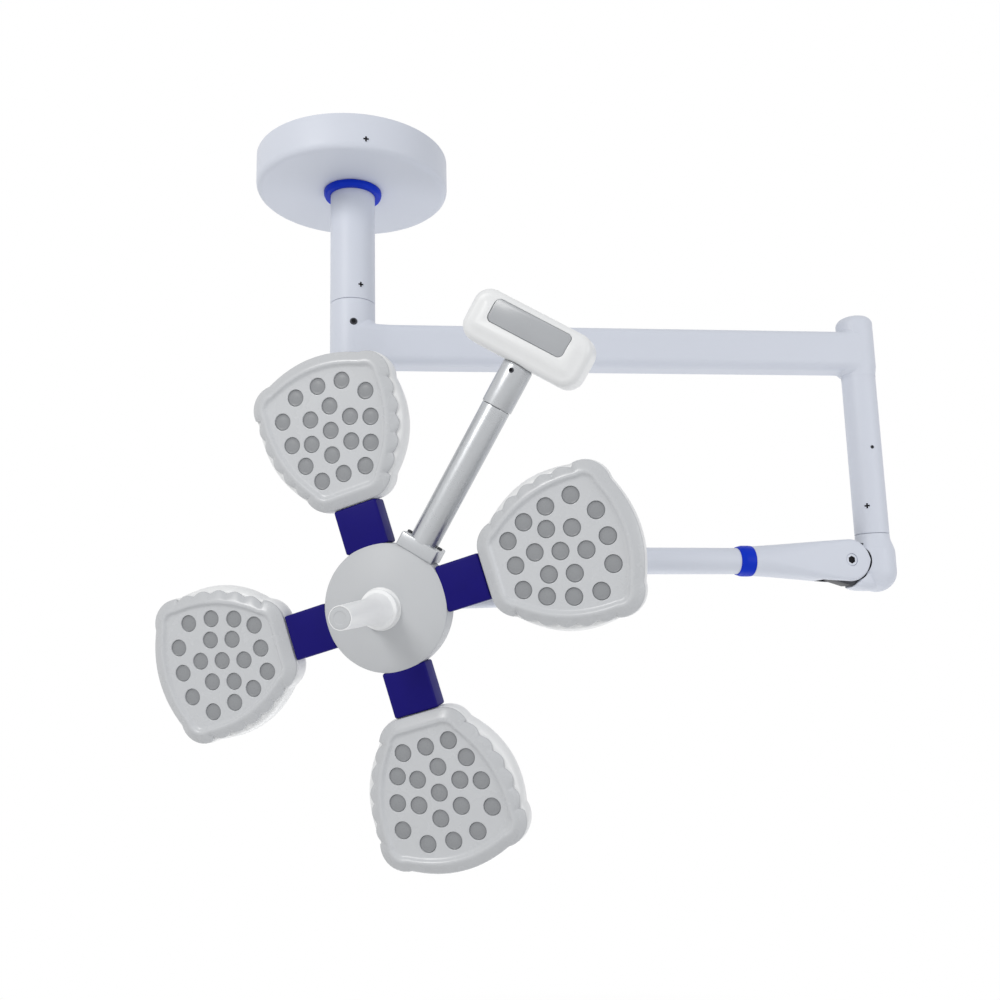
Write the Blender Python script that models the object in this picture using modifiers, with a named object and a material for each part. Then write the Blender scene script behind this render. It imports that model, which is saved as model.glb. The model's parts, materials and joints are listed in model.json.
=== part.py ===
# A ceiling-hung operating light: four lamp petals on a hub, carried by a yoke, a sprung arm,
# a post and an extension arm on a drop tube under a ceiling canopy.
# Metres, +Z up. The origin is the centre of the ceiling plate's top face, which lies against
# the ceiling, and +X runs along the extension arm.

import math

import bmesh
import bpy
from mathutils import Matrix, Vector

# Fits
TOUCH_GAP = 0.0003
RUNNING_GAP = 0.0003
SEAM_GAP = 0.0005
SWEEP_GAP = 0.0006
CUT_REACH = 0.050

# Ceiling mount
CANOPY_RADIUS = 0.142
CANOPY_HEIGHT = 0.053
CANOPY_EDGE = 0.012
CANOPY_WALL = 0.0025
CANOPY_DISH = 0.006
CANOPY_TOP_GAP = 0.001
PLATE_THICKNESS = 0.006
SKIRT_WALL = 0.003
SKIRT_DEPTH = 0.0405
CEILING_BOLT_CIRCLE = 0.095
CEILING_BOLT_HOLE = 0.0055
CEILING_BOLTS = 4
WIRE_HOLE = 0.016
WIRE_HOLE_PLACE = 0.07
COLLAR_WIDTH = 0.010
COLLAR_HEIGHT = 0.0095
COLLAR_CHAMFER = 0.002
DROP_RADIUS = 0.033
DROP_WALL = 0.004
DROP_LENGTH = 0.2265
CANOPY_SCREW_LEVEL = 0.0355
CANOPY_SCREW_TURN = math.radians(-81)
DROP_SCREW_RISE = 0.0205
DROP_SCREW_TURN = math.radians(-68)

# Extension arm
ARM_REACH = 0.778
ARM_LEVEL = 0.292
BEAM_HEIGHT = 0.062
BEAM_WIDTH = 0.050
BEAM_WALL = 0.003
BEAM_CORNER = 0.013
SPINDLE_RADIUS = 0.020
SPINDLE_SOCKET = 0.060
BUSH_WALL = 0.0055
SLEEVE_DROP = 0.046
NUT_HEIGHT = 0.007
NUT_LIP = 0.001
BRAKE_SCREW_FALL = 0.0365
BRAKE_SCREW_TURN = math.radians(-86)
BOSS_WALL = 0.0022
BOSS_RISE = 0.0595
BOSS_DOME = 0.008
BOSS_DROP = 0.040
POST_RADIUS = 0.025
POST_WALL = 0.0035
POST_SOCKET = 0.070
POST_FOOT = 0.5765
POST_SCREW_RISE = 0.041
POST_SCREW_TURN = math.radians(-124)
SCREW_RADIUS = 0.004
SCREW_STAND = 0.0008

# Elbow
ELBOW_LEVEL = 0.617
ELBOW_RADIUS = 0.031
ELBOW_DEPTH = 0.046
ELBOW_NECK = 0.004
ELBOW_FLARE = 0.024
ELBOW_LAP = 0.006
ELBOW_SPINDLE_RADIUS = 0.0125
ELBOW_SPINDLE_LENGTH = 0.052
PIVOT_OFFSET = 0.052
TONGUE_RADIUS = 0.024
TONGUE_WIDTH = 0.026
PIVOT_PIN_RADIUS = 0.006
CHEEK_SWEEP = 0.003

# Spring arm, in the frame of its pivot with X along the arm
ARM_TURN = math.radians(187)
SPRING_ARM_LENGTH = 0.461
CHEEK_RADIUS = 0.031
CHEEK_THICKNESS = 0.0092
SHROUD_LENGTH = 0.1523
SHROUD_NOSE = 0.0026
SHROUD_FLARE = 0.0405
SLOT_DEPTH = 0.034
CAP_RADIUS = 0.0095
CAP_THICKNESS = 0.0045
RING_LENGTH = 0.026
RING_STEP = 0.0008
TUBE_RADIUS = 0.019
TUBE_WALL = 0.002
TUBE_SEAT = 0.044
ROD_OFFSET = 0.014
ROD_WIDTH = 0.005
ROD_HEIGHT = 0.005
ROD_EYE_RADIUS = 0.0047
ROD_PIN_RADIUS = 0.0024
SPRING_TURNS = 10
SPRING_STEPS = 6
SPRING_LENGTH = 0.200
SPRING_RADIUS = 0.0085
SPRING_WIRE_RADIUS = 0.0014
FORK_PLUG = 0.030
FORK_SHOULDER = 0.010
FORK_REACH = 0.030
FORK_TONGUE_RADIUS = 0.0102
FORK_TONGUE_WIDTH = 0.016

# Front knuckle and yoke
KNUCKLE_EAR_RADIUS = 0.0135
KNUCKLE_EAR_THICKNESS = 0.0072
KNUCKLE_PIN_RADIUS = 0.004
KNUCKLE_BASE_DEPTH = 0.004
KNUCKLE_FLOOR = 0.024
SWIVEL_RADIUS = 0.017
SWIVEL_SPINDLE_RADIUS = 0.009
SWIVEL_LENGTH = 0.042
SWIVEL_NUT_HEIGHT = 0.006
YOKE_TURN = math.radians(-19.75)
YOKE_REACH = 0.183
YOKE_RADIUS = 0.013
YOKE_SPINDLE_RADIUS = 0.008
TILT_BLOCK_RADIUS = 0.019
TILT_BLOCK_BACK = 0.045
TILT_BLOCK_FRONT = 0.016
TILT_BORE_FLOOR = 0.010
TILT_PIN_RADIUS = 0.005

# Lamp head, in the frame of its face with Z out towards the lit side
HEAD_DIP = math.radians(7.8)
HEAD_SWING = math.radians(-8.4)
HEAD_SPIN = math.radians(15.7)
TILT_SETBACK = 0.130
HUB_RADIUS = 0.083
HUB_DEPTH = 0.052
HUB_WALL = 0.004
HUB_WAIST_DEPTH = 0.0375
HUB_HEEL_RADIUS = 0.054
HUB_FRONT = 0.002
COVER_RISE = 0.013
BRACKET_EAR_RADIUS = 0.015
BRACKET_EAR_THICKNESS = 0.008
BRACKET_FLANGE_RADIUS = 0.036
BRACKET_FLANGE_THICKNESS = 0.006
BRACKET_WEB = 0.008
PIN_OVERHANG = 0.004
STEM_RADIUS = 0.009
STEM_LENGTH = 0.087
STEM_FLANGE_RADIUS = 0.024
STEM_FLANGE_THICKNESS = 0.004
HANDLE_LENGTH = 0.121
HANDLE_TIP_RADIUS = 0.0143
HANDLE_WAIST_RADIUS = 0.0165
HANDLE_NECK_RADIUS = 0.0195
HANDLE_FLARE_RADIUS = 0.0252
HANDLE_WAIST_RISE = 0.0266
HANDLE_NECK_RISE = 0.0121
HANDLE_RIM = 0.0036
HANDLE_TIP_RISE = 0.007

# Petals, in the frame of the petal's centre with X away from the hub
PETALS = 4
PETAL_PLACE = 0.240
PETAL_CORE_OUT = 0.052
PETAL_CORE_IN = 0.068
PETAL_CORE_OUT_HALF = 0.066
PETAL_CORE_IN_HALF = 0.029
PETAL_CORNER = 0.034
PETAL_OUT_BULGE = 0.015
PETAL_SIDE_BULGE = 0.0125
PETAL_SCALLOPS = 5
PETAL_SCALLOP_DEPTH = 0.003
PETAL_LIP = 0.004
PETAL_DEPTH = 0.054
PETAL_WALL = 0.0025
# Corner radius, depth and scallop at each level of the petal's back, as shares of the full ones,
# and how far its long sides swell past the front edge
PETAL_LEVELS = (
    (1.0, 0.12, 1.0, 0.0),
    (1.0, 0.36, 0.0, 0.005),
    (0.94, 0.64, 0.0, 0.005),
    (0.6, 0.9, 0.0, 0.002),
    (0.2, 1.0, 0.0, 0.0),
)
BEZEL_THICKNESS = 0.004
BEZEL_GAP = 0.0006
BOARD_THICKNESS = 0.003
BOARD_INSET = 0.014
LENS_RADIUS = 0.0108
LENS_GAP = 0.0005
LENS_RECESS = 0.001
LENS_HEXAGON = 0.032
LENS_HEXAGON_TURN = math.radians(-14.5)
LENS_ROWS = (
    (0.061, 0.0),
    (0.057, 0.034),
    (0.033, 0.061),
    (-0.001, 0.0575),
    (-0.033, 0.0475),
    (-0.059, 0.0315),
    (-0.059, 0.0),
)
CONNECTOR_WIDTH = 0.060
CONNECTOR_THICKNESS = 0.031
CONNECTOR_FRONT = 0.003
CONNECTOR_EDGE = 0.004

# Stalk and pod, in the frame of the stalk with X along it and Z out
STALK_TURN = math.radians(42.6)
STALK_SETBACK = 0.018
STALK_COLLAR_WIDTH = 0.054
STALK_COLLAR_EDGE = 0.0015
STALK_COLLAR_DEPTH = 0.036
STALK_COLLAR_LENGTH = 0.0155
STALK_RADIUS = 0.019
STALK_WALL = 0.003
STALK_END = 0.2915
STALK_SPINDLE_RADIUS = 0.0125
STALK_SPINDLE_LENGTH = 0.046
STALK_BOLT_RADIUS = 0.0022
STALK_BOLT_GRIP = 0.004
STALK_BOLT_HEAD = 0.0025
POD_SLEEVE_RADIUS = 0.0203
POD_SLEEVE_LENGTH = 0.058
POD_SCREW_FALL = 0.009
POD_SCREW_RADIUS = 0.003
POD_WIDTH = 0.168
POD_HEIGHT = 0.070
POD_THICKNESS = 0.056
POD_EDGE = 0.012
POD_WALL = 0.0025
PANEL_WIDTH = 0.108
PANEL_HEIGHT = 0.031
PANEL_DEPTH = 0.003
PANEL_RISE = 0.046

# Facets
BIG_FACETS = 32
FACETS = 20
SMALL_FACETS = 8
ARC_STEPS = 3
LENS_FACETS = 6

X_AXIS = Matrix.Rotation(math.pi / 2, 4, "Y")
Y_AXIS = Matrix.Rotation(-math.pi / 2, 4, "X")

for leftover in list(bpy.data.objects):
    bpy.data.objects.remove(leftover)

light = bpy.data.collections.new("operating_light")
cutters = bpy.data.collections.new("cutters")
bpy.context.scene.collection.children.link(light)
bpy.context.scene.collection.children.link(cutters)


def finish(name, colour, roughness, metallic=0.0):
    made = bpy.data.materials.new(name)
    made.use_nodes = True
    shader = made.node_tree.nodes["Principled BSDF"]
    shader.inputs["Base Color"].default_value = (*colour, 1)
    shader.inputs["Roughness"].default_value = roughness
    shader.inputs["Metallic"].default_value = metallic
    return made


def frame(name, parent, place):
    empty = bpy.data.objects.new(name, None)
    empty.empty_display_size = 0.05
    light.objects.link(empty)
    empty.parent = parent
    empty.matrix_local = place
    return empty


def piece(name, mesh, parent, look, place=Matrix()):
    made = bpy.data.objects.new(name, mesh)
    light.objects.link(made)
    made.parent = parent
    made.matrix_local = place
    if look:
        mesh.materials.append(look)
    return made


def mesh_of(name, shape):
    mesh = bpy.data.meshes.new(name)
    shape.to_mesh(mesh)
    shape.free()
    return mesh


def turned(name, profile, parent, look, place=Matrix(), facets=FACETS):
    # The profile holds (radius, height) points down the outer side. One that starts and ends
    # off the axis is closed into a ring.
    shape = bmesh.new()
    points = [shape.verts.new((radius, 0, height)) for radius, height in profile]
    for first, second in zip(points, points[1:]):
        shape.edges.new((first, second))
    if profile[0][0] > 0 and profile[-1][0] > 0:
        shape.edges.new((points[-1], points[0]))
    made = piece(name, mesh_of(name, shape), parent, look, place)
    screw = made.modifiers.new("Turn", "SCREW")
    screw.steps = screw.render_steps = facets
    screw.use_merge_vertices = True
    screw.merge_threshold = 0.00001
    screw.use_smooth_shade = True
    return made


def ring(name, outer, inner, top, bottom, parent, look, place=Matrix(), facets=FACETS):
    profile = [(outer, top), (outer, bottom), (inner, bottom), (inner, top)]
    return turned(name, profile, parent, look, place, facets)


def bar(name, radius, top, bottom, parent, look, place=Matrix(), facets=FACETS):
    profile = [(0, top), (radius, top), (radius, bottom), (0, bottom)]
    return turned(name, profile, parent, look, place, facets)


def block(name, low, high, parent, look, edge=0.0, steps=2):
    shape = bmesh.new()
    bmesh.ops.create_cube(shape, size=1)
    size = Vector(high) - Vector(low)
    middle = (Vector(high) + Vector(low)) / 2
    bmesh.ops.scale(shape, vec=size, verts=shape.verts)
    bmesh.ops.translate(shape, vec=middle, verts=shape.verts)
    made = piece(name, mesh_of(name, shape), parent, look)
    if edge:
        bevel = made.modifiers.new("Round", "BEVEL")
        bevel.width = edge
        bevel.segments = steps
    return made


def prism(name, outlines, thickness, parent, look, place=Matrix()):
    # The first outline is the edge and the rest are holes. It is as thick on both sides of its plane.
    curve = bpy.data.curves.new(name, "CURVE")
    curve.dimensions = "2D"
    curve.fill_mode = "BOTH"
    curve.extrude = thickness / 2
    for outline in outlines:
        spline = curve.splines.new("POLY")
        spline.points.add(len(outline) - 1)
        for point, (x, y) in zip(spline.points, outline):
            point.co = (x, y, 0, 1)
        spline.use_cyclic_u = True
    drawn = bpy.data.objects.new(name, curve)
    light.objects.link(drawn)
    graph = bpy.context.evaluated_depsgraph_get()
    mesh = bpy.data.meshes.new_from_object(drawn.evaluated_get(graph))
    bpy.data.objects.remove(drawn)
    shape = bmesh.new()
    shape.from_mesh(mesh)
    bmesh.ops.remove_doubles(shape, verts=shape.verts, dist=0.00001)
    shape.to_mesh(mesh)
    shape.free()
    mesh.materials.clear()
    return piece(name, mesh, parent, look, place)


def combine(made, operation, *tools):
    for tool in tools:
        step = made.modifiers.new(operation.title(), "BOOLEAN")
        step.operation = operation
        step.object = tool
        if tool.name in light.objects:
            light.objects.unlink(tool)
            cutters.objects.link(tool)
            tool.hide_render = True
            tool.display_type = "WIRE"
    return made


def cut(made, *tools):
    return combine(made, "DIFFERENCE", *tools)


def join(made, *tools):
    return combine(made, "UNION", *tools)


def arc(centre, radius, start, end, steps):
    turns = [start + (end - start) * i / steps for i in range(steps + 1)]
    return [(centre[0] + radius * math.cos(a), centre[1] + radius * math.sin(a)) for a in turns]


def circle(centre, radius, facets):
    return arc(centre, radius, 0, 2 * math.pi, facets)[:-1]


def radial(turn, radius, height):
    # A frame on a round wall whose Z looks out of the wall
    out = Matrix.Rotation(turn, 4, "Z") @ Matrix.Translation((radius, 0, height))
    return out @ X_AXIS


def screw_in(name, hosts, radius, wall, parent, look, place):
    # A screw whose head stands just proud of the wall, in a hole through that wall
    made = bar(name, radius, SCREW_STAND, -wall, parent, look, place, SMALL_FACETS)
    reach = 2 * wall
    hole = bar(name + "_hole", radius + TOUCH_GAP, reach, -reach, parent, None, place, SMALL_FACETS)
    for host in hosts:
        cut(host, hole)
    return made


def petal_outline(offset, scallop=0.0, side_steps=2, swell=0.0):
    # The petal's core corners, swept round by an offset, with bowed edges. The two long sides
    # carry scallops.
    corners = [
        Vector((PETAL_CORE_OUT, -PETAL_CORE_OUT_HALF)),
        Vector((PETAL_CORE_OUT, PETAL_CORE_OUT_HALF)),
        Vector((-PETAL_CORE_IN, PETAL_CORE_IN_HALF)),
        Vector((-PETAL_CORE_IN, -PETAL_CORE_IN_HALF)),
    ]
    side_bulge = PETAL_SIDE_BULGE + swell
    bulges = [PETAL_OUT_BULGE, side_bulge, 0.0, side_bulge]
    normals = [
        Vector((b.y - a.y, a.x - b.x)).normalized()
        for a, b in zip(corners, corners[1:] + corners[:1])
    ]
    points = []
    for i, corner in enumerate(corners):
        before, after = normals[i - 1], normals[i]
        start = math.atan2(before.y, before.x)
        turn = before.angle_signed(after) * -1
        points += arc(corner, offset, start, start + turn, ARC_STEPS)
        following = corners[(i + 1) % len(corners)]
        scalloped = i in (1, 3)
        steps = PETAL_SCALLOPS * side_steps if scalloped else ARC_STEPS + 1
        for step in range(1, steps if bulges[i] else 1):
            along = step / steps
            rise = bulges[i] * 4 * along * (1 - along)
            if scalloped:
                rise -= scallop * (1 - abs(math.sin(math.pi * PETAL_SCALLOPS * along)))
            spot = corner.lerp(following, along) + after * (offset + rise)
            points.append((spot.x, spot.y))
    return points


def lens_places():
    turns = [LENS_HEXAGON_TURN + math.radians(60) * i for i in range(6)]
    places = [(0, 0)] + [(LENS_HEXAGON * math.cos(a), LENS_HEXAGON * math.sin(a)) for a in turns]
    for along, across in LENS_ROWS:
        places += [(along, across), (along, -across)] if across else [(along, 0)]
    return places


white_paint = finish("white_paint", (0.68, 0.70, 0.77), 0.35)
blue_plastic = finish("blue_plastic", (0.006, 0.02, 0.38), 0.4)
navy_plastic = finish("navy_plastic", (0.016, 0.008, 0.15), 0.45)
pale_plastic = finish("pale_plastic", (0.57, 0.58, 0.61), 0.4)
lens_plastic = finish("lens_plastic", (0.30, 0.31, 0.33), 0.25)
white_plastic = finish("white_plastic", (0.80, 0.80, 0.80), 0.2)
satin_metal = finish("satin_metal", (0.62, 0.63, 0.65), 0.3, 1.0)
steel = finish("steel", (0.35, 0.35, 0.36), 0.35, 1.0)
dark_steel = finish("dark_steel", (0.03, 0.03, 0.035), 0.4, 1.0)
bronze = finish("bronze", (0.45, 0.28, 0.12), 0.4, 1.0)
panel_plastic = finish("panel_plastic", (0.42, 0.43, 0.45), 0.3)

# Frames of the moving bodies, each on its joint's axis
mount = frame("ceiling_mount", None, Matrix())
arm = frame("extension_arm", mount, Matrix.Translation((0, 0, -ARM_LEVEL)))
elbow_place = Matrix.Translation((ARM_REACH, 0, ARM_LEVEL - ELBOW_LEVEL))
elbow = frame("elbow", arm, elbow_place @ Matrix.Rotation(ARM_TURN, 4, "Z"))
spring_arm = frame("spring_arm", elbow, Matrix.Translation((PIVOT_OFFSET, 0, 0)))
rod_frame = frame("rod", elbow, Matrix.Translation((PIVOT_OFFSET, 0, -ROD_OFFSET)))
knuckle = frame("knuckle", spring_arm, Matrix.Translation((SPRING_ARM_LENGTH, 0, 0)))
swivel_top = -KNUCKLE_FLOOR - KNUCKLE_BASE_DEPTH - SEAM_GAP
yoke_drop = SWIVEL_LENGTH / 2 - swivel_top
yoke_place = Matrix.Translation((0, 0, -yoke_drop))
yoke = frame("yoke", knuckle, yoke_place @ Matrix.Rotation(YOKE_TURN, 4, "Z"))
tilt_place = Matrix.Translation((YOKE_REACH, 0, 0))
tilt = frame("tilt", yoke, tilt_place @ Matrix.Rotation(-HEAD_DIP, 4, "X"))
head = frame("head", tilt, Matrix.Rotation(HEAD_SWING, 4, "Z"))
facing = Matrix(((-1, 0, 0, 0), (0, 0, 1, 0), (0, 1, 0, 0), (0, 0, 0, 1)))
face_place = Matrix.Translation((0, TILT_SETBACK, 0)) @ facing
face = frame("face", head, face_place @ Matrix.Rotation(HEAD_SPIN, 4, "Z"))
stalk_place = Matrix.Translation((0, 0, -STALK_SETBACK))
stalk = frame("stalk", face, stalk_place @ Matrix.Rotation(STALK_TURN, 4, "Z"))


def build_ceiling_mount():
    plate_radius = CANOPY_RADIUS - CANOPY_WALL - SEAM_GAP
    bore = plate_radius - SKIRT_WALL
    plate = turned(
        "ceiling_plate",
        [
            (0, 0),
            (plate_radius, 0),
            (plate_radius, -SKIRT_DEPTH),
            (bore, -SKIRT_DEPTH),
            (bore, -PLATE_THICKNESS),
            (0, -PLATE_THICKNESS),
        ],
        mount,
        steel,
        facets=BIG_FACETS,
    )
    for i in range(CEILING_BOLTS):
        turn = math.pi / CEILING_BOLTS + i * 2 * math.pi / CEILING_BOLTS
        spot = Matrix.Rotation(turn, 4, "Z") @ Matrix.Translation((CEILING_BOLT_CIRCLE, 0, 0))
        reach = CUT_REACH
        cut(plate, bar("bolt_hole", CEILING_BOLT_HOLE, reach, -reach, mount, None, spot, SMALL_FACETS))
    spot = Matrix.Translation((0, WIRE_HOLE_PLACE, 0))
    cut(plate, bar("wire_hole", WIRE_HOLE, CUT_REACH, -CUT_REACH, mount, None, spot, SMALL_FACETS))

    inner_edge = CANOPY_EDGE - CANOPY_WALL
    middle = (CANOPY_RADIUS - CANOPY_EDGE, CANOPY_EDGE - CANOPY_HEIGHT)
    throat = DROP_RADIUS + CANOPY_TOP_GAP
    dish = CANOPY_DISH - CANOPY_HEIGHT
    collar_radius = DROP_RADIUS + COLLAR_WIDTH
    seat = collar_radius + CANOPY_TOP_GAP
    cover = turned(
        "canopy_cover",
        [(CANOPY_RADIUS, -CANOPY_TOP_GAP)]
        + arc(middle, CANOPY_EDGE, 0, -math.pi / 2, ARC_STEPS)
        + [(seat, dish), (throat, dish), (throat, dish + CANOPY_WALL), (seat, dish + CANOPY_WALL)]
        + arc(middle, inner_edge, -math.pi / 2, 0, ARC_STEPS)
        + [(CANOPY_RADIUS - CANOPY_WALL, -CANOPY_TOP_GAP)],
        mount,
        white_paint,
        facets=BIG_FACETS,
    )
    screw_wall = CANOPY_WALL + SEAM_GAP + SKIRT_WALL
    screw_place = radial(CANOPY_SCREW_TURN, CANOPY_RADIUS, -CANOPY_SCREW_LEVEL)
    screw_in("canopy_screw", [cover, plate], SCREW_RADIUS, screw_wall, mount, dark_steel, screw_place)

    collar_top = dish - TOUCH_GAP
    collar_bottom = collar_top - COLLAR_HEIGHT
    collar_bore = DROP_RADIUS + TOUCH_GAP
    turned(
        "canopy_ring",
        [
            (collar_radius, collar_top),
            (collar_radius, collar_bottom + COLLAR_CHAMFER),
            (collar_radius - COLLAR_CHAMFER, collar_bottom),
            (collar_bore, collar_bottom),
            (collar_bore, collar_top),
        ],
        mount,
        blue_plastic,
    )
    drop_bore = DROP_RADIUS - DROP_WALL
    tube_top = -PLATE_THICKNESS - TOUCH_GAP
    tube = ring("drop_tube", DROP_RADIUS, drop_bore, tube_top, -DROP_LENGTH, mount, white_paint)
    screw_place = radial(DROP_SCREW_TURN, DROP_RADIUS, DROP_SCREW_RISE - DROP_LENGTH)
    screw_in("drop_tube_screw", [tube], SCREW_RADIUS, DROP_WALL, mount, dark_steel, screw_place)

    plug = drop_bore - TOUCH_GAP
    spindle_top = SPINDLE_SOCKET - DROP_LENGTH
    sleeve_foot = -ARM_LEVEL - SLEEVE_DROP
    turned(
        "arm_spindle",
        [
            (0, spindle_top),
            (plug, spindle_top),
            (plug, -DROP_LENGTH),
            (SPINDLE_RADIUS, -DROP_LENGTH),
            (SPINDLE_RADIUS, sleeve_foot),
            (0, sleeve_foot),
        ],
        mount,
        steel,
    )
    nut_bore = SPINDLE_RADIUS + TOUCH_GAP
    nut_radius = SPINDLE_RADIUS + BUSH_WALL
    ring("spindle_nut", nut_radius, nut_bore, sleeve_foot + NUT_HEIGHT, sleeve_foot, mount, steel)


def build_extension_arm():
    sleeve_top = ARM_LEVEL - DROP_LENGTH - SEAM_GAP
    bush_bore = SPINDLE_RADIUS + RUNNING_GAP
    bush_radius = bush_bore + BUSH_WALL
    sleeve_bore = bush_radius + TOUCH_GAP
    bush_foot = NUT_HEIGHT - SLEEVE_DROP + SEAM_GAP
    sleeve = ring("arm_hub_sleeve", DROP_RADIUS, sleeve_bore, sleeve_top, -SLEEVE_DROP, arm, white_paint)
    ring("arm_bush", bush_radius, bush_bore, sleeve_top, bush_foot, arm, bronze)
    screw_place = radial(BRAKE_SCREW_TURN, DROP_RADIUS, ARM_LEVEL - DROP_LENGTH - BRAKE_SCREW_FALL)
    sleeve_wall = DROP_RADIUS - sleeve_bore
    screw_in("arm_brake_screw", [sleeve], SCREW_RADIUS, sleeve_wall, arm, dark_steel, screw_place)

    def section(shrink):
        corner = BEAM_CORNER - shrink
        across, up = BEAM_HEIGHT / 2 - BEAM_CORNER, BEAM_WIDTH / 2 - BEAM_CORNER
        centres = [(across, up), (-across, up), (-across, -up), (across, -up)]
        quarter = math.pi / 2
        points = []
        for i, centre in enumerate(centres):
            points += arc(centre, corner, i * quarter, (i + 1) * quarter, ARC_STEPS)
        return points

    beam_place = Matrix.Translation((ARM_REACH / 2, 0, 0)) @ X_AXIS
    beam = prism("arm_beam", [section(0), section(BEAM_WALL)], ARM_REACH, arm, white_paint, beam_place)
    sleeve_cut = bar("sleeve_cut", DROP_RADIUS + TOUCH_GAP, BEAM_HEIGHT, -BEAM_HEIGHT, arm, None)
    post_axis = Matrix.Translation((ARM_REACH, 0, 0))
    boss_radius = POST_RADIUS + BOSS_WALL
    boss_cut = bar("boss_cut", boss_radius + TOUCH_GAP, BEAM_HEIGHT, -BEAM_HEIGHT, arm, None, post_axis)
    cut(beam, sleeve_cut, boss_cut)

    boss_bore = POST_RADIUS + TOUCH_GAP
    post_top = BOSS_RISE - BOSS_DOME - BEAM_WALL
    dome = [
        (boss_radius * math.sin(a), BOSS_RISE - BOSS_DOME * (1 - math.cos(a)))
        for a in [math.pi / 2 * i / ARC_STEPS for i in range(ARC_STEPS + 1)]
    ]
    turned(
        "arm_end_boss",
        dome
        + [
            (boss_radius, -BOSS_DROP),
            (boss_bore, -BOSS_DROP),
            (boss_bore, post_top + TOUCH_GAP),
            (0, post_top + TOUCH_GAP),
        ],
        arm,
        white_paint,
        post_axis,
    )
    post_bore = POST_RADIUS - POST_WALL
    post_foot = ARM_LEVEL - POST_FOOT
    post = ring("end_post", POST_RADIUS, post_bore, post_top, post_foot, arm, white_paint, post_axis)
    screw_place = post_axis @ radial(POST_SCREW_TURN, POST_RADIUS, post_foot + POST_SCREW_RISE)
    screw_in("post_screw", [post], SCREW_RADIUS, POST_WALL, arm, dark_steel, screw_place)
    plug = post_bore - TOUCH_GAP
    plug_top = post_foot + POST_SOCKET
    spindle_foot = post_foot - ELBOW_SPINDLE_LENGTH
    turned(
        "elbow_spindle",
        [
            (0, plug_top),
            (plug, plug_top),
            (plug, post_foot),
            (ELBOW_SPINDLE_RADIUS, post_foot),
            (ELBOW_SPINDLE_RADIUS, spindle_foot),
            (0, spindle_foot),
        ],
        arm,
        steel,
        post_axis,
    )


def build_elbow():
    top = ELBOW_LEVEL - POST_FOOT - SEAM_GAP
    bore = ELBOW_SPINDLE_RADIUS + RUNNING_GAP
    floor = ELBOW_LEVEL - POST_FOOT - ELBOW_SPINDLE_LENGTH - SEAM_GAP
    lower = arc((0, 0), 1, 0, -math.pi / 2, ARC_STEPS)
    belly = ELBOW_DEPTH - ELBOW_RADIUS
    housing = turned(
        "elbow_housing",
        [(0, floor), (bore, floor), (bore, top), (POST_RADIUS, top), (POST_RADIUS, top - ELBOW_NECK)]
        + [(ELBOW_RADIUS, top - ELBOW_NECK - ELBOW_FLARE)]
        + [(ELBOW_RADIUS * x, -belly + ELBOW_RADIUS * y) for x, y in lower[:-1]]
        + [(0, -ELBOW_DEPTH)],
        elbow,
        white_paint,
    )
    pivot = Matrix.Translation((PIVOT_OFFSET, 0, 0)) @ Y_AXIS
    end = arc((PIVOT_OFFSET, 0), TONGUE_RADIUS, math.pi / 2, -math.pi / 2, 2 * ARC_STEPS)
    root = bore + ELBOW_LAP
    side = end + [(root, -TONGUE_RADIUS), (root, TONGUE_RADIUS)]
    upright = Matrix.Rotation(math.pi / 2, 4, "X")
    join(housing, prism("elbow_tongue", [side], TONGUE_WIDTH, elbow, None, upright))
    clear = CHEEK_RADIUS + CHEEK_SWEEP
    for way in (1, -1):
        near, far = sorted((way * (TONGUE_WIDTH / 2 + TOUCH_GAP / 2), way * 2 * ELBOW_RADIUS))
        cut(housing, bar("cheek_cut", clear, far, near, elbow, None, pivot, BIG_FACETS))
    slot = ROD_WIDTH / 2 + SWEEP_GAP
    slot_start = PIVOT_OFFSET - ROD_EYE_RADIUS - 3 * SWEEP_GAP
    low = (slot_start, -slot, -CHEEK_RADIUS)
    high = (PIVOT_OFFSET + CUT_REACH, slot, CHEEK_RADIUS)
    cut(housing, block("rod_slot", low, high, elbow, None))
    hole = PIVOT_PIN_RADIUS + TOUCH_GAP
    cut(housing, bar("pivot_hole", hole, ELBOW_RADIUS, -ELBOW_RADIUS, elbow, None, pivot))
    rod_pivot = Matrix.Translation((PIVOT_OFFSET, 0, -ROD_OFFSET)) @ Y_AXIS
    reach = slot + ROD_WIDTH
    join(housing, bar("rod_pin", ROD_PIN_RADIUS, reach, -reach, elbow, None, rod_pivot, SMALL_FACETS))
    cheek_face = TONGUE_WIDTH / 2 + SWEEP_GAP + CHEEK_THICKNESS
    pin_end = cheek_face - CAP_THICKNESS
    bar("elbow_pivot_pin", PIVOT_PIN_RADIUS, pin_end, -pin_end, elbow, steel, pivot)


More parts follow.
